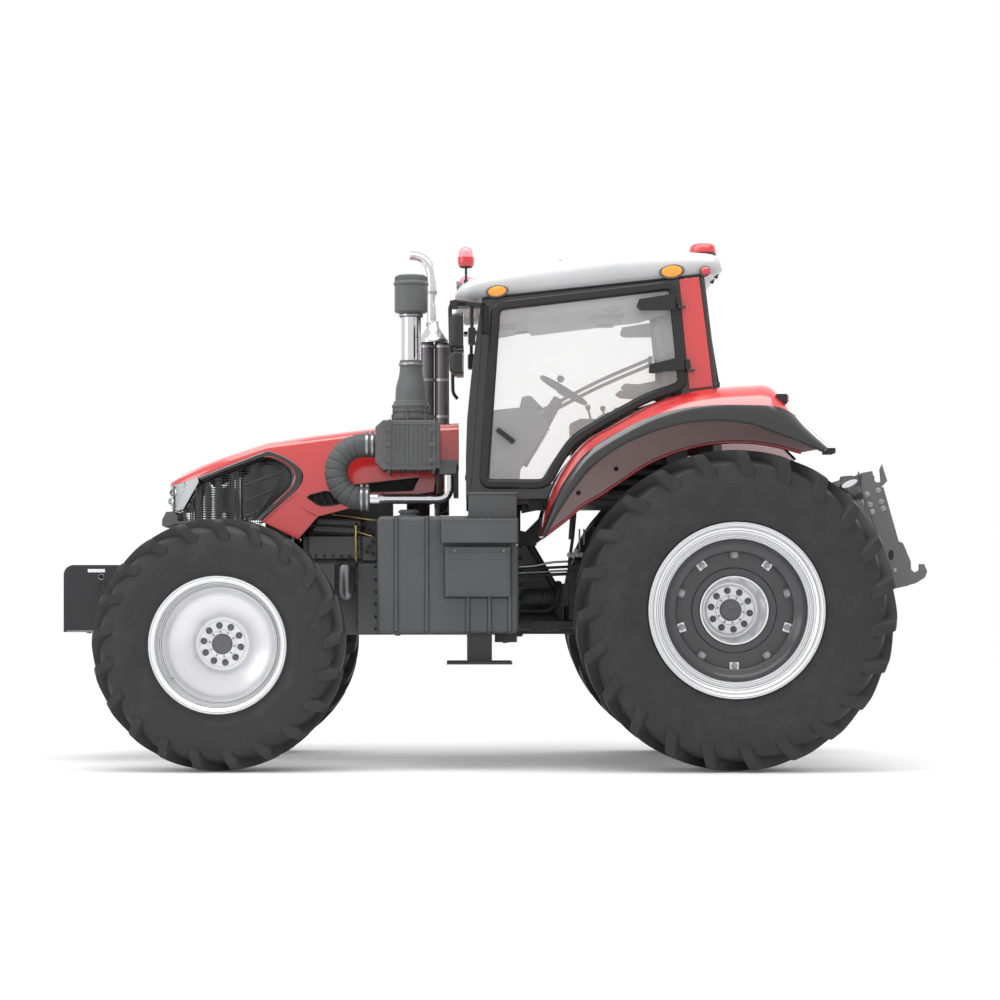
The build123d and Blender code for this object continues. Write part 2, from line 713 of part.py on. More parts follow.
def door():
    y = cab_half + door_seal
    with BuildSketch(Plane.XZ) as outline:
        with BuildLine():
            Polyline(door_front_low, door_front_high, door_back_high, door_back_low,
                     (door_back_low[0], door_front_low[1]), close=True)
        make_face()
    over = fender_face(fender_inner, 0, door_over_fender)
    lean = (hinge_high[0] - hinge_low[0]) / (hinge_high[1] - hinge_low[1])
    pin_y = y + door_wall + hinge_eye_radius

    with BuildPart() as leaf:
        with BuildSketch(Plane.XZ.offset(-y)) as panel:
            add(outline.sketch)
            add(over, mode=Mode.SUBTRACT)
        extrude(amount=-door_wall)
        with BuildSketch(Plane.XZ.offset(-y)) as hole:
            add(outline.sketch)
            add(over, mode=Mode.SUBTRACT)
            offset(amount=-door_frame, kind=Kind.INTERSECTION, mode=Mode.REPLACE)
        extrude(amount=-door_wall, mode=Mode.SUBTRACT)
        for x, z in (hinge_low, hinge_high):
            half = hinge_eye_length / 2
            ends = ((x - lean * half, pin_y, z - half), (x + lean * half, pin_y, z + half))
            block(x, x + 190, y + door_wall, y + door_wall + 22, z - 20, z + 20)
            rod(*ends, hinge_eye_radius)
            rod(*ends, hinge_pin_radius + running_fit, mode=Mode.SUBTRACT)
    write_pair(leaf, "door")

    with BuildPart() as pane:
        with BuildSketch(Plane.XZ.offset(-y - door_wall / 2)):
            add(outline.sketch)
            add(over, mode=Mode.SUBTRACT)
            offset(amount=-door_frame - seat_gap, kind=Kind.INTERSECTION, mode=Mode.REPLACE)
        extrude(amount=-glass_wall)
    write_pair(pane, "door_glass")


# ---------------------------------------------------------------- cab inside
def seat():
    with BuildPart() as chair:
        block(*seat_cushion)
        block(*seat_back)
    write(chair, "seat")


def seat_base():
    with BuildPart() as base:
        block(*seat_foot)
        block(*side_console)
    write(base, "seat_base")


def dashboard():
    with BuildPart() as dash:
        side_cut(dash_outline, dash_half, mode=Mode.ADD)
        foot, hub = Vector(column_foot[0], 0, column_foot[1]), Vector(wheel_hub[0], 0, wheel_hub[1])
        rod(foot, hub - (hub - foot).normalized() * (8 + seat_gap), column_radius)
    write(dash, "dashboard")


def steering_wheel():
    tilt = Vector(wheel_hub[0] - column_foot[0], 0, wheel_hub[1] - column_foot[1])
    hub = Plane(origin=(wheel_hub[0], 0, wheel_hub[1]), z_dir=tilt)
    with BuildPart() as wheel:
        with BuildSketch(hub.offset(-8)):
            Circle(steering_ring[0])
            Circle(steering_ring[1], mode=Mode.SUBTRACT)
            Rectangle(290, 34)
            Circle(40)
        extrude(amount=22)
    write(wheel, "steering_wheel")


# ---------------------------------------------------------------- sides
def fuel_tanks():
    with BuildPart() as tank:
        block(tank_back, tank_front, tank_inner, tank_outer, tank_bottom, tank_top)
        for x in (tank_back + 120, tank_front - 160):
            block(x - 30, x + 30, backbone_half, tank_inner, tank_bottom + 60, tank_bottom + 130)
        mirror(about=Plane.XZ)
    write(tank, "fuel_tanks")


def step_boxes():
    with BuildPart() as boxes:
        block(*tank_lid_box)
        block(*upper_step_box)
        block(*lower_step_box)
        mirror(about=Plane.XZ)
    write(boxes, "step_boxes")


def steps():
    with BuildPart() as tread:
        block(*step_hanger)
        block(*step_plate)
    write(tread, "steps")


# ---------------------------------------------------------------- intake and exhaust
def air_cleaner():
    with BuildPart() as box:
        block(cleaner_back, cleaner_front, cleaner_inner, cleaner_outer, cleaner_bottom, cleaner_top)
        block(duct_back, cleaner_back, stack_y - 60, stack_y + 60, duct_bottom, 1790)
        block(1665, 1725, cleaner_inner, cleaner_inner + 12, tank_top + seat_gap, cleaner_bottom)
    write(box, "air_cleaner")


def intake_hose():
    top = hose_top
    low = top - 2 * hose_bend
    bend_start = cleaner_front + 90
    with BuildPart() as hose:
        with BuildLine() as way:
            Polyline((cleaner_front + seat_gap, stack_y, top), (bend_start, stack_y, top))
            ThreePointArc((bend_start, stack_y, top), (bend_start + hose_bend, stack_y, top - hose_bend),
                          (bend_start, stack_y, low))
            Polyline((bend_start, stack_y, low), (hose_end, stack_y, low))
        with BuildSketch(Plane(origin=(cleaner_front + seat_gap, stack_y, top), z_dir=(1, 0, 0))):
            Circle(hose_radius)
        sweep(path=way.wire())
    write(hose, "intake_hose")


def charge_pipe():
    z = hose_top - 2 * hose_bend
    x, bend = charge_bend_x, charge_bend
    with BuildPart() as pipe:
        with BuildLine() as way:
            near = bend * (1 - sin(radians(45)))
            Line((hose_end - seat_gap, stack_y, z), (x + bend, stack_y, z))
            ThreePointArc((x + bend, stack_y, z), (x + near, stack_y, z + near), (x, stack_y, z + bend))
            Line((x, stack_y, z + bend), (x, stack_y, duct_bottom - seat_gap))
        with BuildSketch(Plane(origin=(hose_end - seat_gap, stack_y, z), z_dir=(-1, 0, 0))):
            Circle(charge_pipe_radius)
        sweep(path=way.wire())
    write(pipe, "charge_pipe")


def intake_stack():
    with BuildPart() as stack:
        with BuildSketch(Plane.XZ.offset(-stack_y)):
            with BuildLine():
                outer = [(stack_x + radius, z) for radius, z in stack_profile]
                Polyline((stack_x, stack_profile[0][1]), *outer, (stack_x, stack_profile[-1][1]), close=True)
            make_face()
        revolve(axis=Axis((stack_x, stack_y, 0), (0, 0, 1)))
    write(stack, "intake_stack")


def exhaust():
    y, top = exhaust_y, silencer_top
    tail = exhaust_x + 20
    with BuildPart() as pipe:
        rod((pipe_back, y, 1500), (pipe_back, y, top), exhaust_radius)
        rod((pipe_front, y, 1900), (pipe_front, y, top), exhaust_radius)
        rod((pipe_back, y, 1555), (pipe_back, -backbone_half - seat_gap, 1555), 45)
        with BuildLine() as way:
            Line((tail, y, top), (tail, y, 3000))
            RadiusArc((tail, y, 3000), (tail + 120, y, 3140), tail_bend)
        with BuildSketch(Plane(origin=(tail, y, top), z_dir=(0, 0, 1))):
            Circle(tail_radius)
        sweep(path=way.wire())
        with Locations((exhaust_x + 10, y, top)):
            Cone(95, 34, 110, align=(Align.CENTER, Align.CENTER, Align.MIN))
    write(pipe, "exhaust_stack")


# ---------------------------------------------------------------- outside of the cab
def mirrors():
    top = mirror_box[5]
    with BuildPart() as glass:
        block(*mirror_box)
        with BuildLine() as arm:
            FilletPolyline((1555, 1050, top), (1555, 1050, top + 55), (1390, cab_half + 60, top + 55),
                           (1390, cab_half + seat_gap, top + 55), radius=25)
        with BuildSketch(Plane(origin=(1555, 1050, top), z_dir=(0, 0, 1))):
            Circle(mirror_arm_radius)
        sweep(path=arm.wire())
        mirror(about=Plane.XZ)
    write(glass, "mirrors")


def marker_lamps():
    with BuildPart() as lamps:
        rod((*lamp_post, 2827.6), (*lamp_post, 2900), 8)
        with Locations((*lamp_post, 2950)):
            Cylinder(lamp_radius, lamp_height)
        mirror(about=Plane.XZ)
    write(lamps, "marker_lamps")


def beacon():
    with BuildPart() as lamp:
        with Locations(beacon_place):
            Cylinder(beacon_radius, beacon_height, align=(Align.CENTER, Align.CENTER, Align.MIN))
    write(lamp, "beacon")


# ---------------------------------------------------------------- hitch
def eye_bar(start, end, y, wall, depth, radius, bores):
    # a flat bar in the side view with a round eye at each end
    way = Vector(end[0] - start[0], 0, end[1] - start[1])
    middle = Vector((start[0] + end[0]) / 2, y, (start[1] + end[1]) / 2)
    with Locations(Plane(origin=middle, x_dir=way, z_dir=(0, 1, 0))):
        Box(way.length, depth, wall)
    for (x, z), bore in zip((start, end), bores):
        rod((x, y - wall / 2, z), (x, y + wall / 2, z), radius)
        rod((x, y - wall / 2, z), (x, y + wall / 2, z), bore, mode=Mode.SUBTRACT)


def lower_links():
    with BuildPart() as links:
        eye_bar(lower_pivot, lower_end, link_y, link_wall, link_depth, 45,
                (cross_pin_radius + running_fit, hook_pin_radius + running_fit))
        x, z = lower_middle
        rod((x, lift_rod_y - 26, z), (x, link_y, z), lift_pin_radius)
        mirror(about=Plane.XZ)
    write(links, "lower_links")


def lift_arms():
    with BuildPart() as arms:
        eye_bar(arm_pivot, arm_end, lift_arm_y, link_wall, 80, 55, (40, lift_pin_radius))
        x, z = arm_end
        rod((x, lift_arm_y - link_wall / 2, z), (x, lift_rod_y + 26, z), lift_pin_radius)
        mirror(about=Plane.XZ)
        x, z = arm_pivot
        rod((x, -lift_arm_y, z), (x, lift_arm_y, z), 40)
    write(arms, "lift_arms")


def lift_rods():
    with BuildPart() as rods:
        eye_bar(arm_end, lower_middle, lift_rod_y, 44, 30, 34,
                (lift_pin_radius + running_fit, lift_pin_radius + open_pin_gap))
        mirror(about=Plane.XZ)
    write(rods, "lift_rods")


def top_link():
    with BuildPart() as link:
        eye_bar(top_pivot, top_end, 0, 40, 36, 34, (top_pin_radius + running_fit, 16))
    write(link, "top_link")


def hitch_frame():
    with BuildPart() as frame:
        with BuildSketch(Plane.XZ.offset(-frame_plate_y)) as plate:
            with BuildLine():
                Polyline(*hitch_outline, close=True)
            make_face()
        extrude(plate.sketch, amount=-frame_plate_wall)
        x, z = lower_end
        rod((x, frame_plate_y - 60, z), (x, frame_plate_y + frame_plate_wall, z), hook_pin_radius)
        for x, z, radius in (cross_rod, cross_tube):
            rod((x, 0, z), (x, frame_plate_y, z), radius)
        with BuildSketch(Plane.XZ.offset(-21)) as ear:
            with BuildLine():
                Polyline((-910, 1590), (-880, 1650), (top_end[0] - 30, top_end[1] + 35),
                         (top_end[0] + 35, top_end[1] + 30), (top_end[0] + 35, top_end[1] - 35), (-860, 1590),
                         close=True)
            make_face()
        extrude(ear.sketch, amount=-18)
        mirror(about=Plane.XZ)
    write(frame, "hitch_frame")


def drawbar():
    with BuildPart() as bar:
        block(*drawbar_bar)
        with Locations((drawbar_bar[0] + 60, 0, 460)):
            Cylinder(drawbar_pin_radius, 60, mode=Mode.SUBTRACT)
        block(*drawbar_hanger)
    write(bar, "drawbar")


os.makedirs("parts", exist_ok=True)
tyre(rear_axle_x, rear_track, rear_tyre_radius, rear_tyre_width, rear_tread_width, rear_rim_radius,
     rear_rim_width, "rear_tyre")
tyre(front_axle_x, front_track, front_tyre_radius, front_tyre_width, front_tread_width, front_rim_radius,
     front_rim_width, "front_tyre")
rear_rim()
front_rim()
front_axle()
knuckle()
tie_rod()
engine_block()
gearbox()
rear_axle_housing()
front_frame()
weight_carrier()
radiator()
cowl_frame()
hood()
hood_skin(grille_outline, "hood_grilles")
hood_skin(lamp_outline, "headlights")
fenders()
cab_frame()
cab_floor()
cab_glass()
roof()
door()
seat()
seat_base()
dashboard()
steering_wheel()
fuel_tanks()
step_boxes()
steps()
air_cleaner()
intake_hose()
charge_pipe()
intake_stack()
exhaust()
mirrors()
marker_lamps()
beacon()
lower_links()
lift_arms()
lift_rods()
top_link()
hitch_frame()
drawbar()
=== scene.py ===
import json
from math import acos, cos, exp, pi, radians, sin

import bmesh
import bpy
import numpy as np
from mathutils import Matrix, Vector

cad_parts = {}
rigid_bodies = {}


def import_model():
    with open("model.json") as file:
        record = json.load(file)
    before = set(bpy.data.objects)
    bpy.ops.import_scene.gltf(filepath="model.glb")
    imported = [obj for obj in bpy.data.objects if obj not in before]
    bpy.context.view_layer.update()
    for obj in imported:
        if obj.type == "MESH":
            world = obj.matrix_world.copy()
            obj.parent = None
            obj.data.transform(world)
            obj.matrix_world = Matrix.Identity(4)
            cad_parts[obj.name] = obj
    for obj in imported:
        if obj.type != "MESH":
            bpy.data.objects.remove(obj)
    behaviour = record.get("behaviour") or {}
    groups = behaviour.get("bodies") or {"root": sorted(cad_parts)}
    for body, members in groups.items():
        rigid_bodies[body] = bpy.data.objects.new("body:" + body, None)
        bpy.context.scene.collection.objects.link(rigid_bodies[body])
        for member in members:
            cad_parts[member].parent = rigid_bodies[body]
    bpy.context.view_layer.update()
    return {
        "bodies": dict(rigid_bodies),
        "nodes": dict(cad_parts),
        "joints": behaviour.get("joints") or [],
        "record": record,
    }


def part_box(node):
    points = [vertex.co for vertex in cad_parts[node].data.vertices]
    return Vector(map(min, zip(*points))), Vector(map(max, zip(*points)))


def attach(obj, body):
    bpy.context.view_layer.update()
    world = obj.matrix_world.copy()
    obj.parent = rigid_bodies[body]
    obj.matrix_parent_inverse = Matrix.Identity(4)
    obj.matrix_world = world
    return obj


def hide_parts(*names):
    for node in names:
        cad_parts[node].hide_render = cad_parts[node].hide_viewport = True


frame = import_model()
scene = bpy.context.scene
joints = {joint["name"]: joint for joint in frame["joints"]}
print("frame loaded:", len(frame["nodes"]), "nodes")


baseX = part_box("weight_carrier")[1].x - 3.9  # where the layout's zero is


def at(x, y, z):  # millimetres ahead of the layout's zero, to the left and up from the ground
    return Vector((baseX + x / 1000, y / 1000, z / 1000))


# shader helpers

class Wire:  # a shader socket that sums can be written with
    def __init__(self, finish, socket):
        self.finish, self.socket = finish, socket

    def sum(self, operation, *terms):
        return self.finish.node("ShaderNodeMath", {"operation": operation}, dict(enumerate(terms)))

    def __add__(self, other):
        return self.sum("ADD", self, other)

    def __radd__(self, other):
        return self.sum("ADD", other, self)

    def __sub__(self, other):
        return self.sum("SUBTRACT", self, other)

    def __rsub__(self, other):
        return self.sum("SUBTRACT", other, self)

    def __mul__(self, other):
        return self.sum("MULTIPLY", self, other)

    def __rmul__(self, other):
        return self.sum("MULTIPLY", other, self)

    def clamp(self):
        return self.sum("MINIMUM", self.sum("MAXIMUM", self, 0.0), 1.0)

    def ramp(self, low, high):  # 0 below low, 1 above high
        return self.finish.node("ShaderNodeMapRange", {}, {"Value": self, "From Min": low, "From Max": high})


class Finish:
    def __init__(self, colour, roughness, **fixed):
        self.colour = (*colour, 1)
        self.material = bpy.data.materials.new("finish")
        self.material.use_nodes = True
        self.tree = self.material.node_tree
        self.shader = self.tree.nodes["Principled BSDF"]
        self.put("Base Color", self.colour)
        self.put("Roughness", roughness)
        for socket, value in fixed.items():
            self.put(socket, value)
        self.place = self.node("ShaderNodeTexCoord", out="Object")

    def node(self, kind, settings=None, inputs=None, out=0):
        made = self.tree.nodes.new(kind)
        for name, value in (settings or {}).items():
            setattr(made, name, value)
        for name, value in (inputs or {}).items():
            if isinstance(value, Wire):
                self.tree.links.new(value.socket, made.inputs[name])
            else:
                made.inputs[name].default_value = value
        return Wire(self, made.outputs[out])

    def put(self, socket, value):
        if isinstance(value, Wire):
            self.tree.links.new(value.socket, self.shader.inputs[socket])
        else:
            self.shader.inputs[socket].default_value = value

    def noise(self, scale, detail=3, rough=0.55, place=None):
        return self.node("ShaderNodeTexNoise", {},
            {"Vector": place or self.place, "Scale": scale, "Detail": detail, "Roughness": rough})

    def cells(self, scale, scatter=1.0):
        return self.node("ShaderNodeTexVoronoi", {},
            {"Vector": self.place, "Scale": scale, "Randomness": scatter}, out="Distance")

    def mix(self, factor, first, second):
        return self.node("ShaderNodeMix", {"data_type": "RGBA"}, {0: factor, 6: first, 7: second}, out=2)

    def shade(self, amount):  # the finish's own colour, darker or lighter
        return (*[min(1, part * amount) for part in self.colour[:3]], 1)

    def normal(self, height, strength, distance, rounding=0):
        inputs = {"Height": height, "Strength": strength, "Distance": distance}
        if rounding:
            inputs["Normal"] = self.node("ShaderNodeBevel", {"samples": 4}, {"Radius": rounding})
        self.put("Normal", self.node("ShaderNodeBump", {}, inputs))

    def edges(self, radius):  # 1 along sharp edges, 0 on flat ground
        soft = self.node("ShaderNodeBevel", {"samples": 4}, {"Radius": radius})
        true = self.node("ShaderNodeNewGeometry", out="Normal")
        agree = self.node("ShaderNodeVectorMath", {"operation": "DOT_PRODUCT"}, {0: soft, 1: true}, out="Value")
        return (1 - agree).ramp(0.03, 0.25)

    def upward(self):  # 1 on faces that look up
        true = self.node("ShaderNodeNewGeometry", out="Normal")
        return self.node("ShaderNodeSeparateXYZ", {}, {0: true}, out=2).ramp(0.2, 0.95)


def paintFinish(colour, roughness, coat=0.0, metallic=0.0, wear=0.35, grain=0.0006, rounding=0.004, dust=0.08,
        shine=0.3, depth=1.5):
    made = Finish(colour, roughness, **{"Coat Weight": coat, "Coat Roughness": 0.13, "Metallic": metallic,
        "Coat IOR": depth, "Specular IOR Level": shine})
    clouds = made.noise(2.3, 4)
    grit = made.noise(420, 2)
    tone = made.mix(clouds, made.shade(0.86), made.shade(1.12))
    scuffs = made.edges(0.006) * made.noise(35, 4).ramp(0.45, 0.7) * wear
    tone = made.mix(scuffs, tone, (0.42, 0.42, 0.43, 1))
    settled = made.upward() * made.noise(6, 5).ramp(0.35, 0.8) * dust
    made.put("Base Color", made.mix(settled, tone, (0.33, 0.29, 0.24, 1)))
    made.put("Roughness", (roughness + (clouds - 0.5) * 0.12 + settled * 0.5 + grit * 0.04).clamp())
    made.normal(grit + clouds * 2, 0.35, grain, rounding)
    return made


def plasticFinish(colour, roughness=0.5, grainScale=900, grain=0.0004, rounding=0.004):
    made = Finish(colour, roughness, **{"Specular IOR Level": 0.28})
    pebbles = made.cells(grainScale)
    clouds = made.noise(3, 4)
    tone = made.mix(clouds, made.shade(0.82), made.shade(1.18))
    settled = made.upward() * made.noise(9, 5).ramp(0.4, 0.8) * 0.12
    made.put("Base Color", made.mix(settled, tone, (0.3, 0.27, 0.23, 1)))
    made.put("Roughness", (roughness + (clouds - 0.5) * 0.15 + settled).clamp())
    made.normal(pebbles, 0.3, grain, rounding)
    return made


def clothFinish(colour, weave=420):
    made = Finish(colour, 0.85, **{"Specular IOR Level": 0.2, "Sheen Weight": 0.25})
    warp = made.node("ShaderNodeTexWave", {"bands_direction": "X"}, {"Vector": made.place, "Scale": weave})
    weft = made.node("ShaderNodeTexWave", {"bands_direction": "Y"}, {"Vector": made.place, "Scale": weave})
    clouds = made.noise(5, 4)
    made.put("Base Color", made.mix(warp * weft * 0.6 + clouds * 0.4, made.shade(0.7), made.shade(1.3)))
    made.normal(warp * weft + clouds, 0.5, 0.0008)
    return made


def metalFinish(colour, roughness, brush=(1, 1, 1), wear=0.2):
    made = Finish(colour, roughness, **{"Metallic": 1.0})
    grainPlace = made.node("ShaderNodeMapping", {}, {"Vector": made.place, "Scale": brush})
    streaks = made.noise(260, 3, 0.6, grainPlace)
    clouds = made.noise(7, 4)
    made.put("Base Color", made.mix(clouds * wear * 2, made.colour, made.shade(0.6)))
    made.put("Roughness", (roughness + (streaks - 0.5) * 0.12 + (clouds - 0.5) * 0.14).clamp())
    made.normal(streaks, 0.12, 0.0003, 0.002)
    return made


def rubberFinish(colour, roughness=0.54, dust=0.2):
    made = Finish(colour, roughness, **{"Specular IOR Level": 0.32})
    clouds = made.noise(4, 5)
    fine = made.noise(260, 4, 0.7)
    settled = made.noise(11, 6, 0.65).ramp(0.5, 0.85) * dust
    made.put("Base Color", made.mix(settled, made.mix(clouds, made.shade(0.8), made.shade(1.2)),
        (0.12, 0.115, 0.11, 1)))
    made.put("Roughness", (roughness + (fine - 0.5) * 0.2 + settled * 0.4).clamp())
    made.normal(fine, 0.4, 0.0012)
    return made


def piercedFinish(colour, holeShade, scale, size, metallic=0.9, open=False):
    made = Finish(colour, 0.35, **{"Metallic": metallic})
    # the holes get holeShade, a near-black painted shade for the dark seen through the perforations; with open=True
    # they are also cut away
    solid = made.cells(scale, 0.0).ramp(size, size + 0.08)
    clouds = made.noise(6, 3)
    made.put("Base Color", made.mix(solid, (*holeShade, 1), made.mix(clouds, made.shade(0.75), made.shade(1.2))))
    made.put("Metallic", solid * metallic)
    if open:
        made.put("Alpha", solid)
    made.put("Roughness", (0.9 - solid * 0.5 + (clouds - 0.5) * 0.1).clamp())
    made.normal(solid, 0.6, 0.002)
    return made


def glassFinish(colour, alpha):
    made = Finish(colour, 0.03, **{"Specular IOR Level": 0.5, "Alpha": alpha})
    smears = made.noise(5, 5, 0.6)
    made.put("Roughness", 0.02 + smears.ramp(0.45, 0.9) * 0.06)
    made.put("Base Color", made.mix(smears, made.shade(0.97), made.colour))
    made.put("Alpha", alpha + smears.ramp(0.6, 1.0) * 0.01)
    return made


def lensFinish(colour, glow=0.0, alpha=1.0, ribs=260):
    made = Finish(colour, 0.12, **{"Coat Weight": 1.0, "Coat Roughness": 0.03, "Alpha": alpha,
        "Emission Strength": glow})
    flutes = made.cells(ribs)
    tone = made.mix(flutes.ramp(0.1, 0.8), made.shade(0.72), made.shade(1.25))
    made.put("Base Color", tone)
    made.put("Emission Color", tone)
    made.normal(flutes, 0.5, 0.0015)
    return made


finishes = {
    "redPaint": paintFinish((0.54, 0.018, 0.02), 0.26, coat=1.0, wear=0.0, rounding=0.012, dust=0.03, depth=1.75),
    "glossBlack": paintFinish((0.01, 0.01, 0.011), 0.16, coat=1.0, wear=0.0, dust=0.0),
    "blackPaint": paintFinish((0.032, 0.032, 0.034), 0.42, wear=0.35),
    "castGrey": paintFinish((0.15, 0.15, 0.153), 0.52, grain=0.003, wear=0.4, dust=0.15),
    "tyreRubber": rubberFinish((0.025, 0.025, 0.026)),
    "hoseRubber": rubberFinish((0.075, 0.076, 0.078), 0.5, 0.08),
    "sealRubber": rubberFinish((0.02, 0.02, 0.021), 0.55, 0.04),
    "wheelSilver": paintFinish((0.84, 0.84, 0.86), 0.28, coat=0.5, metallic=0.45, wear=0.1, dust=0.03),
    "wheelDark": paintFinish((0.06, 0.06, 0.063), 0.3, coat=0.4, wear=0.1, dust=0.1),
    "nutSteel": metalFinish((0.42, 0.42, 0.43), 0.35, wear=0.4),
    "chrome": metalFinish((0.66, 0.66, 0.68), 0.09, (1, 1, 6), 0.06),
    "guardSteel": metalFinish((0.33, 0.33, 0.34), 0.38, (6, 6, 1), 0.3),
    "piercedSteel": piercedFinish((0.15, 0.15, 0.155), (0.012, 0.012, 0.012), 62, 0.27),
    "grilleMesh": piercedFinish((0.022, 0.022, 0.023), (0.006, 0.006, 0.006), 72, 0.44, 0.0, True),
    "brassPipe": metalFinish((0.66, 0.47, 0.2), 0.28, wear=0.3),
    "roofGrey": paintFinish((0.47, 0.472, 0.48), 0.3, coat=0.4, wear=0.0, dust=0.12),
    "tankPlastic": plasticFinish((0.078, 0.08, 0.082), 0.5, 700),
    "darkPlastic": plasticFinish((0.1, 0.101, 0.103), 0.42, 1000),
    "cabPlastic": plasticFinish((0.1, 0.103, 0.108), 0.55, 1200),
    # pinkish grey of the arch wall and fender underside: painted shade, red paint as it looks in shade, made lighter
    # to stand in for the light these hidden faces lack
    "archPlastic": plasticFinish((0.5, 0.36, 0.36), 0.3, 500),
    "doorBlack": paintFinish((0.022, 0.022, 0.023), 0.36, wear=0.0, dust=0.0),
    "seatCloth": clothFinish((0.07, 0.07, 0.075)),
    "paleLining": plasticFinish((0.3, 0.31, 0.32), 0.7, 800),
    "cabGlass": glassFinish((0.98, 0.99, 0.99), 0.15),
    "lampGlass": glassFinish((0.9, 0.92, 0.94), 0.3),
    "mirrorGlass": metalFinish((0.8, 0.82, 0.84), 0.03, wear=0.02),
    "amberLens": lensFinish((0.72, 0.27, 0.012), 0.05),
    "redLens": lensFinish((0.46, 0.012, 0.022), 0.05),
    "pinkLens": lensFinish((0.75, 0.2, 0.24), 0.1, 0.8),
    "clearLens": lensFinish((0.88, 0.9, 0.92), 0.0, 1.0, 160),
}
for name, finish in finishes.items():
    finish.material.name = name
    "grey_plastic" if "lastic" in name else "black_paint"
print("finishes made:", len(finishes))


# mesh helpers

def smoothLine(points, steps):  # a curve through the points
    points = [np.asarray(point, float) for point in points]
    ends = [2 * points[0] - points[1], *points, 2 * points[-1] - points[-2]]
    line = []
    for a, b, c, d in zip(ends, ends[1:], ends[2:], ends[3:]):
        for step in range(steps):
            t = step / steps
            line.append(0.5 * (2 * b + (c - a) * t + (2 * a - 5 * b + 4 * c - d) * t * t
                + (3 * b - a - 3 * c + d) * t ** 3))
    return [*line, points[-1]]


def roundCorner(before, corner, after, radius, share, steps):
    back, on = before - corner, after - corner
    reach = min(radius, back.length * share, on.length * share)
    start, end = corner + back.normalized() * reach, corner + on.normalized() * reach
    return [start * (1 - t) ** 2 + corner * 2 * t * (1 - t) + end * t * t
        for t in (step / steps for step in range(steps + 1))]


def bentLine(points, radius, steps=7):  # straight runs with rounded corners
    points = [Vector(point) for point in points]
    line = [points[0]]
    for before, corner, after in zip(points, points[1:], points[2:]):
        line += roundCorner(before, corner, after, radius, 0.49, steps)
    return [*line, points[-1]]


def turns(count, lead=0):  # angles evenly round a circle
    return [2 * pi * (k + lead) / count for k in range(count)]


def spokes(count, plane, lead=0):  # unit vectors evenly round a centre
    for a in turns(count, lead):
        c, s = cos(a), sin(a)
        yield Vector({"xy": (c, s, 0), "yz": (0, c, s), "zx": (s, 0, c)}[plane])


def cuff(middle, half, inner, outer):  # the profile of a plain ring
    return [(middle - half, inner), (middle - half, outer), (middle + half, outer), (middle + half, inner)]


def ringPoints(centre, normal, radius, sides, start=0.0):
    normal = Vector(normal).normalized()
    across = normal.orthogonal().normalized()
    other = normal.cross(across)
    return [Vector(centre) + across * cos(a) * radius + other * sin(a) * radius
        for a in (start + turn for turn in turns(sides))]


def sideLine(points, y):  # a side view line in millimetres, at one width
    return [at(x, y, z) for x, z in points]


fine = {"bevel": 0.001, "steps": 1}  # edges of small fittings


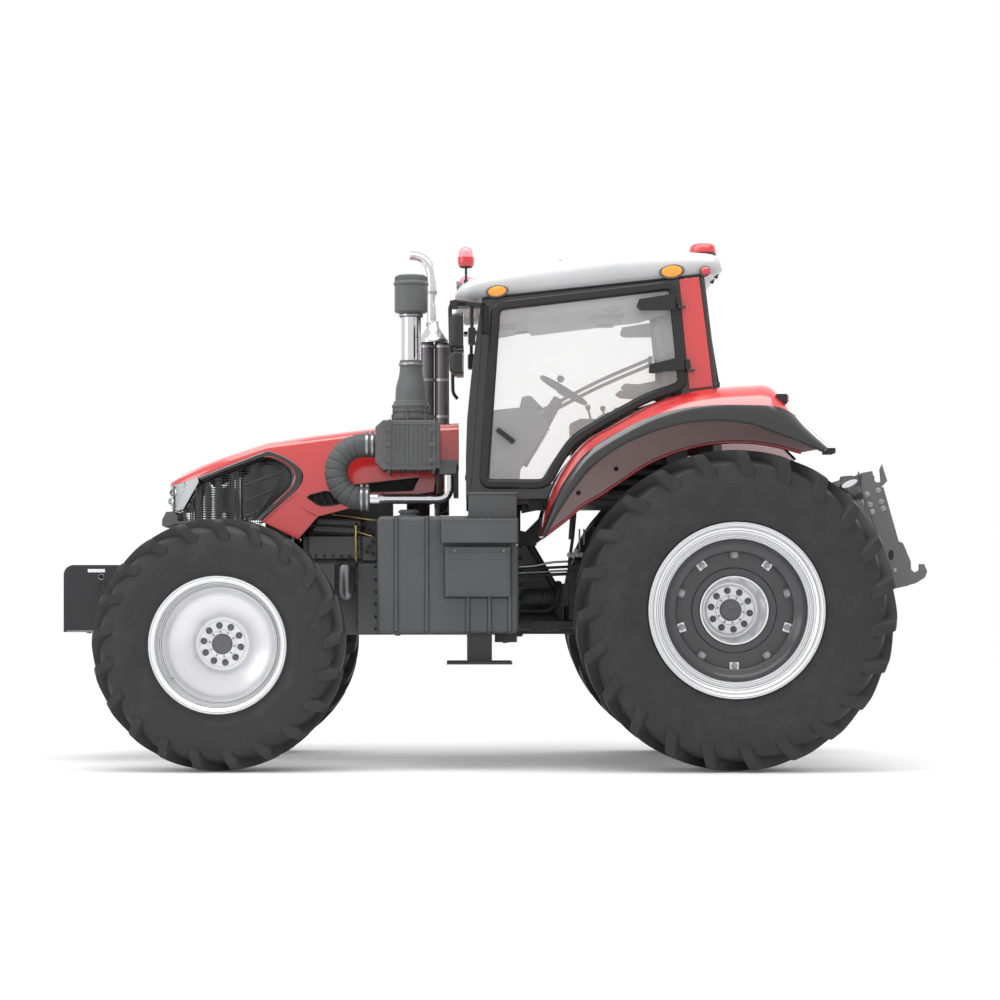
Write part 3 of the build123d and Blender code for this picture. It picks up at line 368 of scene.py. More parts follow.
class Shape:  # gathers forms into one mesh
    def __init__(self):
        self.points, self.faces, self.tints, self.tint, self.hand = [], [], [], 0, 1

    def sides(self):  # what follows is built on the left, then on the right
        for self.hand in (1, -1):
            yield self.hand
        self.hand = 1

    def spot(self, point):  # a tuple is in millimetres, a vector is ready
        return at(point[0], self.hand * point[1], point[2]) if isinstance(point, tuple) else Vector(point)

    def add(self, points, faces, tints=None):
        first = len(self.points)
        self.points.extend([tuple(point) for point in points])
        self.faces.extend([tuple(first + corner for corner in face) for face in faces])
        self.tints.extend(tints or [self.tint] * len(faces))
        return self

    def skin(self, rows, closedRows=True, closedEnds=False, caps=True, columnTints=None):
        rows = [list(row) for row in rows]
        wide, long = len(rows[0]), len(rows)
        faces, tints = [], []
        for i in range(long if closedEnds else long - 1):
            for j in range(wide if closedRows else wide - 1):
                a, b = i * wide, ((i + 1) % long) * wide
                k = (j + 1) % wide
                faces.append((a + j, a + k, b + k, b + j))
                tints.append(columnTints[j] if columnTints else self.tint)
        if caps and closedRows and not closedEnds:
            faces += [tuple(range(wide))[::-1], tuple((long - 1) * wide + j for j in range(wide))]
            tints += [tints[0], tints[-1]]
        return self.add([point for row in rows for point in row], faces, tints)

    def box(self, low, high, turn=None, about=None):
        low, high = Vector(low), Vector(high)
        corners = [Vector((x, y, z)) for z in (low.z, high.z)
            for x, y in ((low.x, low.y), (high.x, low.y), (high.x, high.y), (low.x, high.y))]
        if turn is not None:
            about = Vector(about) if about else (low + high) / 2
            corners = [about + turn @ (corner - about) for corner in corners]
        return self.skin([corners[:4], corners[4:]])

    def mm(self, x0, x1, y0, y1, z0, z1, turn=None):  # a box between limits in millimetres
        y0, y1 = self.hand * y0, self.hand * y1
        return self.box(at(min(x0, x1), min(y0, y1), min(z0, z1)), at(max(x0, x1), max(y0, y1), max(z0, z1)), turn)

    def blocks(self, *boxes):
        for limits in boxes:
            self.mm(*limits)

    def pair(self, x0, x1, y0, y1, z0, z1):  # a box and its twin on the other side
        self.blocks((x0, x1, y0, y1, z0, z1), (x0, x1, -y1, -y0, z0, z1))

    def prism(self, outline, y0, y1):  # a side view outline in millimetres, between two widths
        return self.skin([sideLine(outline, self.hand * y) for y in (y0, y1)])

    def pipe(self, points, bend, radius, sides, steps=7):  # a bent pipe through points in millimetres
        return self.tube(bentLine([self.spot(point) for point in points], bend, steps), radius, sides)

    def rod(self, start, end, radius, endRadius=None, sides=20):
        start, end = self.spot(start), self.spot(end)
        way = end - start
        return self.skin([ringPoints(start, way, radius, sides),
            ringPoints(end, way, radius if endRadius is None else endRadius, sides)])

    def tube(self, path, radius, sides=14, closed=False):
        path = [self.spot(point) for point in path]
        radii = radius if hasattr(radius, "__len__") else [radius] * len(path)
        rows, side = [], None
        for i, (point, size) in enumerate(zip(path, radii)):
            after = path[(i + 1) % len(path)] if closed else path[min(i + 1, len(path) - 1)]
            before = path[i - 1] if closed or i else path[0]
            way = (after - before).normalized()
            side = way.orthogonal() if side is None else side - way * side.dot(way)
            side = side.normalized()
            up = way.cross(side)
            rows.append([point + side * cos(a) * size + up * sin(a) * size for a in turns(sides)])
        return self.skin(rows, closedEnds=closed)

    def lathe(self, profile, centre, axis, sides=48, tints=None, closed=False):
        # profile: distance along the axis and radius in millimetres, from end to end
        centre, axis = self.spot(centre), Vector(axis).normalized()
        rows = []
        for angle in turns(sides):
            spoke = ringPoints((0, 0, 0), axis, 1, 4, angle)[0]
            rows.append([centre + axis * (along / 1000) + spoke * max(radius / 1000, 1e-4)
                for along, radius in profile])
        return self.skin(rows, closedRows=closed, closedEnds=True, columnTints=tints)

    def nut(self, place, axis, size, height, washer=1.35, stud=0.5):
        place, axis = self.spot(place), Vector(axis).normalized()
        if washer:
            self.rod(place, place + axis * height * 0.18, size * washer, sides=18)
        self.rod(place, place + axis * height, size, size * 0.94, sides=6)
        if stud:
            self.rod(place + axis * height, place + axis * height * 1.45, size * stud, size * stud * 0.85, sides=10)
        return self

    def mirrored(self):  # the same again on the other side
        return self.add([(x, -y, z) for x, y, z in self.points], [face[::-1] for face in self.faces],
            list(self.tints))

    def piece(self, name, finish, body="chassis", bevel=0.0, steps=2, angle=35, replaces="", soften=0):
        kinds = [finish] if isinstance(finish, str) else finish
        mesh = bpy.data.meshes.new(name)
        mesh.from_pydata(self.points, [], self.faces)
        for kind in kinds:
            mesh.materials.append(finishes[kind].material)
        mesh.polygons.foreach_set("material_index", self.tints)
        work = bmesh.new()
        work.from_mesh(mesh)
        bmesh.ops.remove_doubles(work, verts=work.verts, dist=1e-6)
        bmesh.ops.recalc_face_normals(work, faces=work.faces)
        work.to_mesh(mesh)
        work.free()
        mesh.shade_smooth()
        mesh.set_sharp_from_angle(angle=radians(angle))
        made = bpy.data.objects.new(name, mesh)
        scene.collection.objects.link(made)
        if bevel:
            edge = made.modifiers.new("edge", "BEVEL")
            edge.width, edge.segments, edge.limit_method = bevel, steps, "ANGLE"
            edge.angle_limit = radians(38)
            edge.harden_normals = True
        if soften:
            rounder = made.modifiers.new("rounder", "SUBSURF")
            rounder.levels = rounder.render_levels = soften
        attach(made, body)
        if replaces:
            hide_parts(replaces)
        return made


# camera, light and floor

studio = {
    "reach": 16.66, "ahead": 1.506, "height": 1.045, "lens": 99.0, "shift": (0.034, 0.088), "dome": 1.0, "key": 190,
    "fill": 110, "floorTone": 0.95, "floorGlow": 0.05,
}


def makeStudio():
    lens = bpy.data.cameras.new("sideCamera")
    lens.lens, lens.sensor_width = studio["lens"], 36
    lens.shift_x, lens.shift_y = studio["shift"]
    lens.clip_end = 200
    camera = bpy.data.objects.new("sideCamera", lens)
    camera.location = (baseX + studio["ahead"], studio["reach"], studio["height"])
    camera.rotation_euler = (pi / 2, 0, pi)
    scene.collection.objects.link(camera)
    scene.camera = camera
    scene.view_settings.view_transform = "Standard"
    world = bpy.data.worlds.new("paleRoom")
    world.use_nodes = True
    world.node_tree.nodes["Background"].inputs["Color"].default_value = (1, 1, 1, 1)
    world.node_tree.nodes["Background"].inputs["Strength"].default_value = studio["dome"]
    scene.world = world
    for name, place, size, deep, power in (("overheadStrip", (0.3, 1.4, 5.2), 7.0, 2.4, studio["key"]),
            ("frontPanel", (7.5, 5.0, 3.6), 3.6, 3.6, studio["fill"]),
            ("rearPanel", (-6.5, -5.5, 4.4), 3.6, 3.6, studio["fill"])):
        light = bpy.data.lights.new(name, "AREA")
        light.shape = "RECTANGLE"
        light.energy, light.size, light.size_y = power, size, deep
        lamp = bpy.data.objects.new(name, light)
        lamp.location = place
        aim = Vector((0, 0, 1.2)) if place[2] < 5 else Vector((place[0], 0.6, 1.2))
        lamp.rotation_euler = (aim - Vector(place)).to_track_quat("-Z", "X" if place[2] < 5 else "Y").to_euler()
        scene.collection.objects.link(lamp)
    floor = Finish((studio["floorTone"],) * 3, 0.7,
        **{"Emission Color": (1, 1, 1, 1), "Emission Strength": studio["floorGlow"]})
    floor.material.name = "paleFloor"
    speckle = floor.noise(30, 4)
    floor.put("Base Color", floor.mix(speckle, floor.shade(0.985), floor.colour))
    mesh = bpy.data.meshes.new("floor")
    mesh.from_pydata([(-90, -90, 0), (90, -90, 0), (90, 90, 0), (-90, 90, 0)], [], [(0, 1, 2, 3)])
    mesh.materials.append(floor.material)
    ground = bpy.data.objects.new("floor", mesh)
    scene.collection.objects.link(ground)


makeStudio()
print("studio set")


# tyres

corners = [(axle, side) for axle in ("rear", "front") for side in ("left", "right")]
tyreSets = {
    "rear": {
        "lugs": 23, "lugHeight": 0.05, "lugHalf": 0.027, "endHalf": 0.036, "sweep": 17.0, "drop": 0.155,
        "tread": 0.246, "rounds": 184,
    },
    "front": {
        "lugs": 21, "lugHeight": 0.042, "lugHalf": 0.023, "endHalf": 0.031, "sweep": 17.5, "drop": 0.125,
        "tread": 0.203, "rounds": 168,
    },
}


def makeTyre(axle, side):
    sizes = tyreSets[axle]
    node = f"{axle}_tyre_{side}"
    low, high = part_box(node)
    centre = (low + high) / 2
    radius, half = (high.z - low.z) / 2 - 0.0005, (high.y - low.y) / 2
    rimLow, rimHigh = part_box(f"{axle}_rim_{side}")
    collar, rimHalf = (rimHigh.z - rimLow.z) / 2, (rimHigh.y - rimLow.y) / 2
    hand = 1 if side == "left" else -1
    tread, deep = sizes["tread"], radius - sizes["lugHeight"]
    span = deep - collar
    wall = [(rimHalf - 0.016, collar - 0.022), (rimHalf - 0.014, collar - 0.006),
        (rimHalf - 0.004, collar + 0.006), (half - 0.026, collar + 0.13 * span), (half - 0.006, collar + 0.3 * span),
        (half - 0.001, collar + 0.46 * span), (half - 0.006, collar + 0.63 * span),
        (half - 0.024, collar + 0.8 * span), (tread - 0.03, deep - 0.028), (tread * 0.62, deep - 0.006),
        (tread * 0.3, deep - 0.001), (0, deep)]
    wall = [tuple(point) for point in smoothLine(wall, 4)]
    profile = [(-y, r) for y, r in wall][:-1] + wall[::-1] + [(rimHalf - 0.03, collar - 0.03),
        (0.03 - rimHalf, collar - 0.03)]

    def spot(y, r, angle):
        return (centre.x + r * sin(angle), centre.y + hand * y, centre.z + r * cos(angle))

    form = Shape()
    rounds = sizes["rounds"]
    form.skin([[spot(y, r, angle) for y, r in profile] for angle in turns(rounds)], closedEnds=True)
    # thin moulded rings on both walls
    for share, proud in ((0.1, 0.002), (0.3, 0.0015), (0.55, 0.0015)):
        index = min(range(len(wall)), key=lambda i: abs(wall[i][1] - collar - share * span))
        y, r = wall[index]
        for face in (1, -1):
            form.skin([[spot(face * (y + proud * cos(a)), r + 0.004 * sin(a), angle)
                for a in (0, pi / 2, pi, -pi / 2)] for angle in turns(rounds)[::2]], closedEnds=True)
    # top y, top radius, base y, base radius, share of the sweep, half thickness
    drop, lug, end = sizes["drop"], sizes["lugHalf"], sizes["endHalf"]
    stations = [(-0.016, radius, -0.016, deep - 0.012, -0.03, lug), (0.02, radius, 0.02, deep - 0.012, 0.1, lug),
        (tread * 0.45, radius - 0.003, tread * 0.42, deep - 0.014, 0.52, lug),
        (tread * 0.8, radius - 0.007, tread * 0.72, deep - 0.02, 0.84, lug * 1.08),
        (tread - 0.006, radius - 0.014, tread * 0.8, deep - 0.04, 1.0, lug * 1.18),
        (tread + 0.008, radius - 0.034, tread * 0.86, deep - 0.05, 1.05, lug * 1.2),
        (half - 0.008, radius - drop * 0.62, half - 0.04, radius - drop * 0.8, 1.15, end),
        (half - 0.006, radius - drop * 0.86, half - 0.04, radius - drop * 0.95, 1.19, end * 0.98),
        (half - 0.02, radius - drop * 1.06, half - 0.045, radius - drop * 1.06, 1.22, end * 0.9),]
    stations = smoothLine(stations, 2)
    pitch = 2 * pi / sizes["lugs"]
    for number in range(sizes["lugs"]):
        for face in (1, -1):
            middle = pitch * (number + (0.5 if face < 0 else 0))
            rows = []
            for topY, topR, baseY, baseR, share, thick in stations:
                angle = middle - radians(sizes["sweep"]) * share
                slant = thick / max(topR, 0.1)
                edgeY, edgeR = topY + (baseY - topY) * 0.12, topR + (baseR - topR) * 0.12
                rows.append([spot(face * baseY, baseR, angle - slant * 1.45),
                    spot(face * edgeY, edgeR, angle - slant), spot(face * topY, topR, angle - slant * 0.86),
                    spot(face * topY, topR, angle + slant * 0.86), spot(face * edgeY, edgeR, angle + slant),
                    spot(face * baseY, baseR, angle + slant * 1.45)])
            form.skin(rows)
    made = form.piece(node + "_tread", "tyreRubber", f"{axle}_wheel_{side}", angle=30, replaces=node)


for corner in corners:
    makeTyre(*corner)
print("tyres made")

# wheels

# millimetres out from the wheel's middle and radius, from the outer bead round the dish to the hub
rimSets = {
    "front": {
        "face": [(150, 362), (180, 365), (187, 378), (189, 389), (196, 392), (201.5, 387), (200.5, 374), (190, 360),
            (176, 352), (150, 350), (142, 343), (104, 341), (96, 334), (58, 332), (40, 322), (18, 318), (-20, 312),
            (-48, 298), (-66, 272), (-86, 235), (-112, 192), (-132, 168), (-142, 158), (-150, 153), (-150, 55)],
        "back": [(-168, 55), (-168, 158), (-150, 176), (-120, 212), (-92, 262), (-66, 312), (-50, 328), (-60, 343.5),
            (-176, 343.5), (-190, 360)],
        "hub": [(-150, 134), (-136, 134), (-131, 130), (-131, 85), (-127, 82), (-124, 60), (-112, 56), (-107, 50),
            (-107, 0)],
        "lines": ((200.5, 381), (181, 354.5), (145, 345.5), (100, 336.5), (57, 330.5)),
        "hubTints": [0, 0, 0, 0, 0, 2, 2, 2], "nutRing": 108, "smallRing": 71, "hubFace": -131, "faceTints": None,
    },
    "rear": {
        "face": [(190, 486), (214, 487), (221, 492), (224, 499), (231, 501), (237, 496), (236, 485), (228, 476),
            (214, 470), (196, 468), (190, 460), (178, 446), (176, 434), (186, 424), (186, 412), (176, 406),
            (150, 402), (136, 392), (112, 366), (104, 348), (96, 338), (60, 334), (52, 326), (52, 246), (60, 238),
            (60, 202), (70, 196), (70, 188), (60, 184), (-140, 172), (-176, 166), (-190, 160), (-192, 150),
            (-192, 66)],
        "back": [(-210, 66), (-210, 172), (-150, 184), (30, 198), (40, 300), (40, 400), (20, 466), (-214, 468),
            (-228, 478)],
        "hub": [(-192, 142), (-172, 142), (-166, 137), (-166, 88), (-161, 84), (-158, 64), (-144, 60), (-138, 52),
            (-138, 0)],
        "lines": ((236, 490.5), (215, 470.5), (184, 452.5), (177.5, 440), (186.5, 417.5)),
        "hubTints": [0, 0, 0, 0, 0, 2, 2, 2], "nutRing": 113, "smallRing": 75, "hubFace": -166,
        "faceTints": [0] * 15 + [1] * 11 + [0] * 7,
    },
}


def makeRim(axle, side):
    sizes = rimSets[axle]
    hand = 1 if side == "left" else -1
    centre = Vector(joints[f"{axle}_wheel_{side}_spin"]["pos_m"])
    axis = Vector((0, hand, 0))
    face, back = sizes["face"], sizes["back"]
    bead = [(-y, r) for y, r in face[:7]][::-1]
    profile = face + back + bead
    tints = sizes["faceTints"] or [0] * (len(face) - 1)
    tints = tints[:len(face) - 1] + [0] * (len(profile) - len(face) + 1)
    form = Shape()
    form.lathe(profile, centre, axis, 120, tints, closed=True)
    made = form.piece(f"{axle}_rim_{side}_dish", ["wheelSilver", "wheelDark"], f"{axle}_wheel_{side}", angle=32,
        replaces=f"{axle}_rim_{side}")
    hub = Shape()
    hub.lathe(sizes["hub"], centre, axis, 96, sizes["hubTints"])
    for spoke in spokes(10, "zx", 0.25):
        place = centre + axis * (sizes["hubFace"] / 1000) + spoke * (sizes["nutRing"] / 1000)
        hub.tint = 2
        hub.nut(place, axis, 0.0145, 0.018, 1.35)
        hub.tint = 3
        hub.rod(place + axis * 0.018, place + axis * 0.024, 0.007, sides=14)
        hub.tint = 2
        hub.nut(centre + (axis * (sizes["hubFace"] + 4) + spoke * sizes["smallRing"]) / 1000, axis,
            0.0052, 0.008, 0, 0)
    hub.tint = 2
    end = sizes["hub"][-1][0]
    hub.rod(centre + axis * (end / 1000), centre + axis * ((end + 4) / 1000), 0.009, sides=16)
    for away, radius in sizes["lines"]:  # thin dark grey rings on the rim's fine steps: painted shade in the grooves
        hub.tube(ringPoints(centre + axis * (away / 1000), axis, radius / 1000, 96), 0.0018, 6, True)
    if axle == "rear":
        for k, spoke in enumerate(spokes(10, "zx")):
            # clamp lugs alternate silver and dark grey: the dark grey ones are painted shade, lit and shaded copies
            # of one part
            hub.tint = 0 if k % 2 else 2
            along = spoke.cross(axis)
            base = centre + axis * 0.056 + spoke * 0.312
            turn = Matrix((along, axis, spoke)).transposed()
            hub.box((-0.026, -0.004, -0.016), (0.026, 0.016, 0.03), turn, (0, 0, 0))
            for step in range(-8, 0):
                x, y, z = hub.points[step]
                hub.points[step] = (x + base.x, y + base.y, z + base.z)
            hub.tint = 3
            hub.nut(base + axis * 0.016 + spoke * 0.004, axis, 0.014, 0.02)
            hub.tint = 0
    # valve
    valve = centre + axis * (0.07 if axle == "rear" else 0.11) + Vector((sin(2.2), 0, cos(2.2))) * (0.355
        if axle == "rear" else 0.322)
    hub.tint = 2
    hub.rod(valve, valve + axis * 0.035, 0.006, 0.0045, 10)
    hub.piece(f"{axle}_hub_{side}", ["wheelSilver", "nutSteel", "castGrey", "nutSteel"], f"{axle}_wheel_{side}",
        bevel=0.0015, steps=1)


for corner in corners:
    makeRim(*corner)
print("wheels made")


# fenders

# stations from the front tip over the wheel: inner edge x z, outer lip x z, share that is red
fenderSet = {
    "stations": [(1086, 1339, 1066, 1336, 0.5), (1024, 1572, 985, 1480, 0.46), (933, 1754, 890, 1621, 0.46),
        (815, 1893, 790, 1740, 0.46), (659, 1985, 640, 1848, 0.48), (438, 2105, 470, 1927, 0.52),
        (233, 2172, 290, 1978, 0.58), (68, 2197, 98, 1997, 0.6), (-110, 2210, -93, 1980, 0.58),
        (-235, 2206, -215, 1940, 0.5), (-330, 2115, -340, 1893, 0.34), (-430, 1990, -440, 1852, 0.18),
        (-566, 1857, -519, 1817, 0.1)],
    "wallFoot": [(1065, 1336), (919, 1447), (824, 1529), (725, 1587), (608, 1665), (420, 1784), (200, 1864),
        (0, 1896), (-180, 1894), (-330, 1868), (-450, 1836)],
    "inside": 800, "outside": 1119, "arch": 600, "skin": 15, "step": 7,
}


def makeFenders():
    setup = fenderSet
    rows = []
    stations = smoothLine(setup["stations"], 5)
    hubX, _, hubZ = joints["rear_wheel_left_spin"]["pos_m"]
    hub = np.array([hubX - baseX, 0, hubZ]) * 1000
    for innerX, innerZ, outerX, outerZ, share in stations:
        turnEdge = acos(1 - min(0.98, share))
        sweeps = [turnEdge * k / 6 for k in range(7)] + [turnEdge + 0.012 + (pi / 2 - turnEdge - 0.012) * k / 9
            for k in range(10)]
        outer = []
        for number, turn in enumerate(sweeps):
            f = 1 - cos(turn)
            y = setup["inside"] + (setup["outside"] - setup["inside"]) * sin(turn) ** 0.92
            x, z = innerX + (outerX - innerX) * f, innerZ + (outerZ - innerZ) * f
            away = np.array([x - hub[0], z - hub[2]])
            away = away / np.linalg.norm(away)
            if number > 6:
                x, z = x + away[0] * setup["step"], z + away[1] * setup["step"]
            outer.append((x, y, z, away))
        back = [(x - away[0] * setup["skin"], y - (9 if k > 9 else 0), z - away[1] * setup["skin"])
            for k, (x, y, z, away) in enumerate(outer)][::-1]
        rows.append([at(x, y, z) for x, y, z, _ in outer] + [at(*point) for point in back])
    form = Shape()
    # red crest, black lip, and the underside in the painted-shade arch tone
    tints = [0] * 6 + [1] * 11 + [2] * (len(rows[0]) - 17)
    form.skin(rows, columnTints=tints)
    form.tint = 1
    # arch between the fender and the wheel's inner side
    edge = [station[:2] for station in stations]
    low = [(x - (x - hub[0]) * 0.014, z - (z - hub[2]) * 0.014) for x, z in edge]
    form.skin([[at(x, setup["arch"], z) for x, z in edge], [at(x, setup["inside"] + 3, z) for x, z in edge],
        [at(x, setup["inside"] + 3, z) for x, z in low], [at(x, setup["arch"], z) for x, z in low]], closedRows=False,
        closedEnds=True)
    # inner arch wall, in the painted-shade arch tone
    form.tint = 2
    foot = smoothLine(setup["wallFoot"], 4)
    form.prism([tuple(point) for point in edge] + [tuple(point) for point in foot[::-1]], setup["arch"],
        setup["arch"] + 14)
    form.mirrored()
    form.piece("fender_shells", ["redPaint", "glossBlack", "archPlastic"], angle=28, replaces="fenders")
    # lip beads, bolts and the lamp blocks on the tails
    trim = Shape()
    lip = [at(x, setup["outside"] - 4, z - 3) for _, _, x, z, _ in stations]
    trim.tube(lip, 0.006, 8)
    for x, z in ((1010, 1420), (860, 1560), (640, 1700)):
        trim.nut((x - 10, setup["arch"] + 14, z + 40), (0, 1, 0), 0.011, 0.01, 1.3, 0)
    trim.mm(-322, -262, 830, 1010, 2096, 2150)
    trim.tint = 1
    trim.mm(-331, -321, 838, 1002, 2102, 2144)
    trim.tint = 2
    trim.mm(-332, -321, 838, 880, 2102, 2144)
    trim.tint = 3  # bead along the wall's lower edge
    trim.tube([(x, setup["arch"] + 8, z) for x, z in smoothLine(setup["wallFoot"], 4)], 0.011, 10)
    trim.tint = 0
    trim.mm(-590, -540, 860, 1060, 1810, 1840)
    trim.tint = 1
    trim.mm(-594, -588, 880, 1040, 1816, 1836)
    trim.mirrored()
    trim.piece("fender_trim", ["sealRubber", "redLens", "amberLens", "redPaint"], bevel=0.003)


makeFenders()
print("fenders made")

# roof and its lamps

roofSet = {
    "top": [(19, 2938), (40, 2966), (109, 2986), (311, 2995), (600, 2982), (872, 2955), (1150, 2914), (1344, 2879),
        (1440, 2858), (1500, 2832), (1545, 2792), (1569, 2752)],
    "half": [(19, 720), (40, 778), (109, 822), (311, 838), (600, 840), (872, 840), (1150, 838), (1344, 834),
        (1440, 826), (1500, 806), (1545, 770), (1569, 730)],
    "underFront": (1413, 2718), "underBack": (133, 2853),
}


def roofFloor(x):
    (x0, z0), (x1, z1) = roofSet["underBack"], roofSet["underFront"]
    return z0 + (x - x0) * (z1 - z0) / (x1 - x0) + max(0, 60 - x) * 0.5 + max(0, x - 1500) * 0.35


def makeRoof():
    rows = []
    tops, halves = smoothLine(roofSet["top"], 4), smoothLine(roofSet["half"], 4)
    for (x, top), (_, half) in zip(tops, halves):
        low = roofFloor(x)
        high = max(top, low + 6)
        tall = high - low
        side = [(0, low), (half * 0.6, low), (half - 62, low), (half - 30, low + tall * 0.03),
            (half - 8, low + tall * 0.2), (half, low + tall * 0.42), (half - 6, low + tall * 0.62),
            (half - 34, low + tall * 0.84), (half - 92, low + tall * 0.965), (half - 190, high),
            (half * 0.45, high + 3), (0, high + 4)]
        side = smoothLine(side, 3)
        rows.append([at(x, y, z) for y, z in side] + [at(x, -y, z) for y, z in side[-2:0:-1]])
    form = Shape()
    form.skin(rows)
    form.piece("roof_shell", "roofGrey", angle=50, replaces="roof")
    # pressed panel on top, gutter below, hatch
    trim = Shape()
    for y in (-430, 430):
        path = [at(x, y, z + 5) for x, z in smoothLine(roofSet["top"][2:9], 4)]
        trim.tube(path, 0.006, 8)
    trim.tint = 1
    for y in (-808, 808):
        trim.tube([(x, y, roofFloor(x) - 3) for x in range(150, 1440, 60)], 0.007, 8)
    trim.mm(500, 950, -250, 250, 2992, 3000)
    trim.piece("roof_trim", ["roofGrey", "sealRubber"], bevel=0.003)


def ovalLamp(form, x, y, z, longHalf, tallHalf, hand, lift, rim, lens, lean=0.0):
    for radius, out, tint in ((1.24, 0.004, rim), (1.0, lift, lens)):
        rows = []
        for share, depth in ((1.0, -0.02), (1.0, 0.35), (0.93, 0.75), (0.7, 0.95), (0.35, 1.0), (0.02, 1.0)):
            rows.append([at(x, y, z) + Vector((cos(a) * longHalf * radius * share,
                hand * (out * depth + (0.003 if tint == lens else 0)),
                sin(a) * tallHalf * radius * share + cos(a) * longHalf * radius * share * lean)) for a in turns(32)])
        form.tint = tint
        form.skin(rows)


# x, z, way they face, case, glass
workLamps = ((1520, 2782, (1, 0, -0.12), [(0, 0), (0, 50), (30, 62), (36, 62), (36, 55), (30, 53)],
    [(29, 53), (34, 40), (36, 20), (37, 0)]), (60, 2912, (-1, 0, -0.2),
    [(0, 0), (0, 45), (30, 52), (36, 52), (36, 46), (30, 45)], [(29, 45), (34, 34), (36, 16), (37, 0)]),)


def makeRoofLamps():
    form = Shape()
    for hand in (1, -1):
        ovalLamp(form, 1327, hand * 832, 2752, 0.053, 0.03, hand, 0.016, 0, 1, -0.1)
        ovalLamp(form, 322, hand * 836, 2866, 0.06, 0.034, hand, 0.016, 0, 1, -0.08)
        form.tint = 0
        form.rod((132, hand * 812, 2868), (128, hand * 838, 2868), 0.032, 0.03, 24)
        form.tint = 2
        form.lathe([(0, 26), (8, 24), (14, 16), (16, 0)], (128, hand * 836, 2868), (0, hand, 0), 24)
        for y in (300, 560):
            for x, z, way, case, glass in workLamps:
                for form.tint, profile in ((0, case), (3, glass)):
                    form.lathe(profile, (x, hand * y, z), way, 32)
    form.piece("roof_lamps", ["darkPlastic", "amberLens", "redLens", "clearLens"], angle=40)
    beacon = Shape()
    foot = at(105, 400, 2993)
    beacon.lathe([(0, 0), (0, 78), (8, 85), (22, 85), (27, 80), (27, 0)], foot, (0, 0, 1), 48)
    beacon.tint = 1
    dome = [(27, 79), (32, 83), (50, 81), (66, 77), (78, 68), (84, 55), (87, 30), (87.5, 0)]
    beacon.lathe(dome, foot, (0, 0, 1), 48)
    for z in (0.036, 0.044, 0.052, 0.06):
        beacon.tube(ringPoints(foot + Vector((0, 0, z)), (0, 0, 1), 0.081 - (z - 0.036) * 0.12, 40), 0.0012, 6, True)
    beacon.piece("beacon_dome", ["glossBlack", "redLens"], angle=40, replaces="beacon")
    markers = Shape()
    for hand in markers.sides():
        foot = at(1506, hand * 750, 2895)
        markers.tint = 0
        markers.rod((1506, 750, 2740), (1506, 750, 2897), 0.007)
        markers.rod((1506, 750, 2812), (1506, 750, 2830), 0.016, 0.01)
        markers.lathe([(0, 0), (0, 20), (4, 36), (12, 42), (12, 0)], foot, (0, 0, 1), 32)
        markers.tint = 1
        markers.lathe([(0, 20), (10, 43), (30, 48), (62, 49), (62, 0)], foot, (0, 0, 1), 32)
        markers.tint = 2
        markers.lathe([(62, 0), (62, 45.5), (95, 42), (112, 33), (122, 18), (125, 0)], foot, (0, 0, 1), 32)
    markers.piece("marker_capsules", ["sealRubber", "redLens", "pinkLens"], angle=40, replaces="marker_lamps")


makeRoof()
makeRoofLamps()
print("roof and lamps made")

# fuel tanks, boxes and steps

tankSet = {
    "low": (1202, 500, 783), "high": (2017, 950, 1458), "ribs": (1906, 1730, 1496, 1372, 1256), "ribWide": 20,
    "ribProud": 9,
}


def makeTanks():
    (x0, y0, z0), (x1, y1, z1) = tankSet["low"], tankSet["high"]
    proud = tankSet["ribProud"]
    form = Shape()
    form.mm(x0 + 3, x1 - 3, y0, y1 - proud, z0 + 3, z1 - 2)
    form.mirrored()
    form.piece("tank_bodies", "tankPlastic", bevel=0.028, steps=4, replaces="fuel_tanks")
    ribs = Shape()
    for x in tankSet["ribs"]:
        wide = tankSet["ribWide"] / 2
        ribs.prism([(x - wide, z0 + 14), (x + wide, z0 + 14), (x + wide * 0.7, z1 - 4), (x - wide * 0.7, z1 - 4)],
            y1 - proud - 4, y1)
        ribs.blocks((x - wide * 0.7, x + wide * 0.7, y0 + 30, y1 - 6, z1 - 6, z1 + 1),
            (x - wide, x + wide, y0 + 30, y1 - 6, z0, z0 + 8))
    ribs.tint = 1  # painted shadow: dark strips in the gaps beside the ribs and along the edges of the boxes
    for x in tankSet["ribs"]:
        for edge in (-wide - 3, wide):
            ribs.mm(x + edge, x + edge + 3, y1 - proud - 2, y1 - proud + 1, z0 + 16, z1 - 10)
    ribs.blocks((1627, 1631, y1 - proud - 2, y1 - proud + 2, 985, 1300),
        (1253, 1631, y1 - proud - 2, y1 - proud + 2, 985, 992),
        (1649, 1653, y1 - proud - 2, y1 - proud + 2, 1300, 1452))
    ribs.tint = 0
    for x in (x0 + 90, x1 - 190):  # straps and brackets
        ribs.blocks((x, x + 70, 232, 505, z0 + 60, z0 + 130), (x, x + 70, 490, 500, z0 + 60, z1 - 60))
        for z in (z0 + 95, z0 + 260, z0 + 430):
            ribs.nut((x + 35, 488, z), (0, -1, 0), 0.011, 0.012)
    ribs.mirrored()
    ribs.piece("tank_ribs", ["tankPlastic", "sealRubber"], bevel=0.003)
    caps = Shape()
    for hand in caps.sides():
        foot = at(1839, hand * 700, z1 - 3)
        caps.lathe([(0, 0), (0, 62), (12, 62), (14, 50), (22, 50), (24, 56), (40, 54), (44, 46), (44, 0)],
            foot, (0, 0, 1), 40)
        for spoke in spokes(12, "xy"):
            caps.rod(foot + spoke * 0.055 + Vector((0, 0, 0.024)),
                foot + spoke * 0.055 + Vector((0, 0, 0.04)), 0.004, sides=8)
        caps.rod((1900, 760, z0 - 14), (1900, 760, z0 + 4), 0.016, sides=6)
    caps.piece("tank_caps", "darkPlastic", bevel=0.0015)


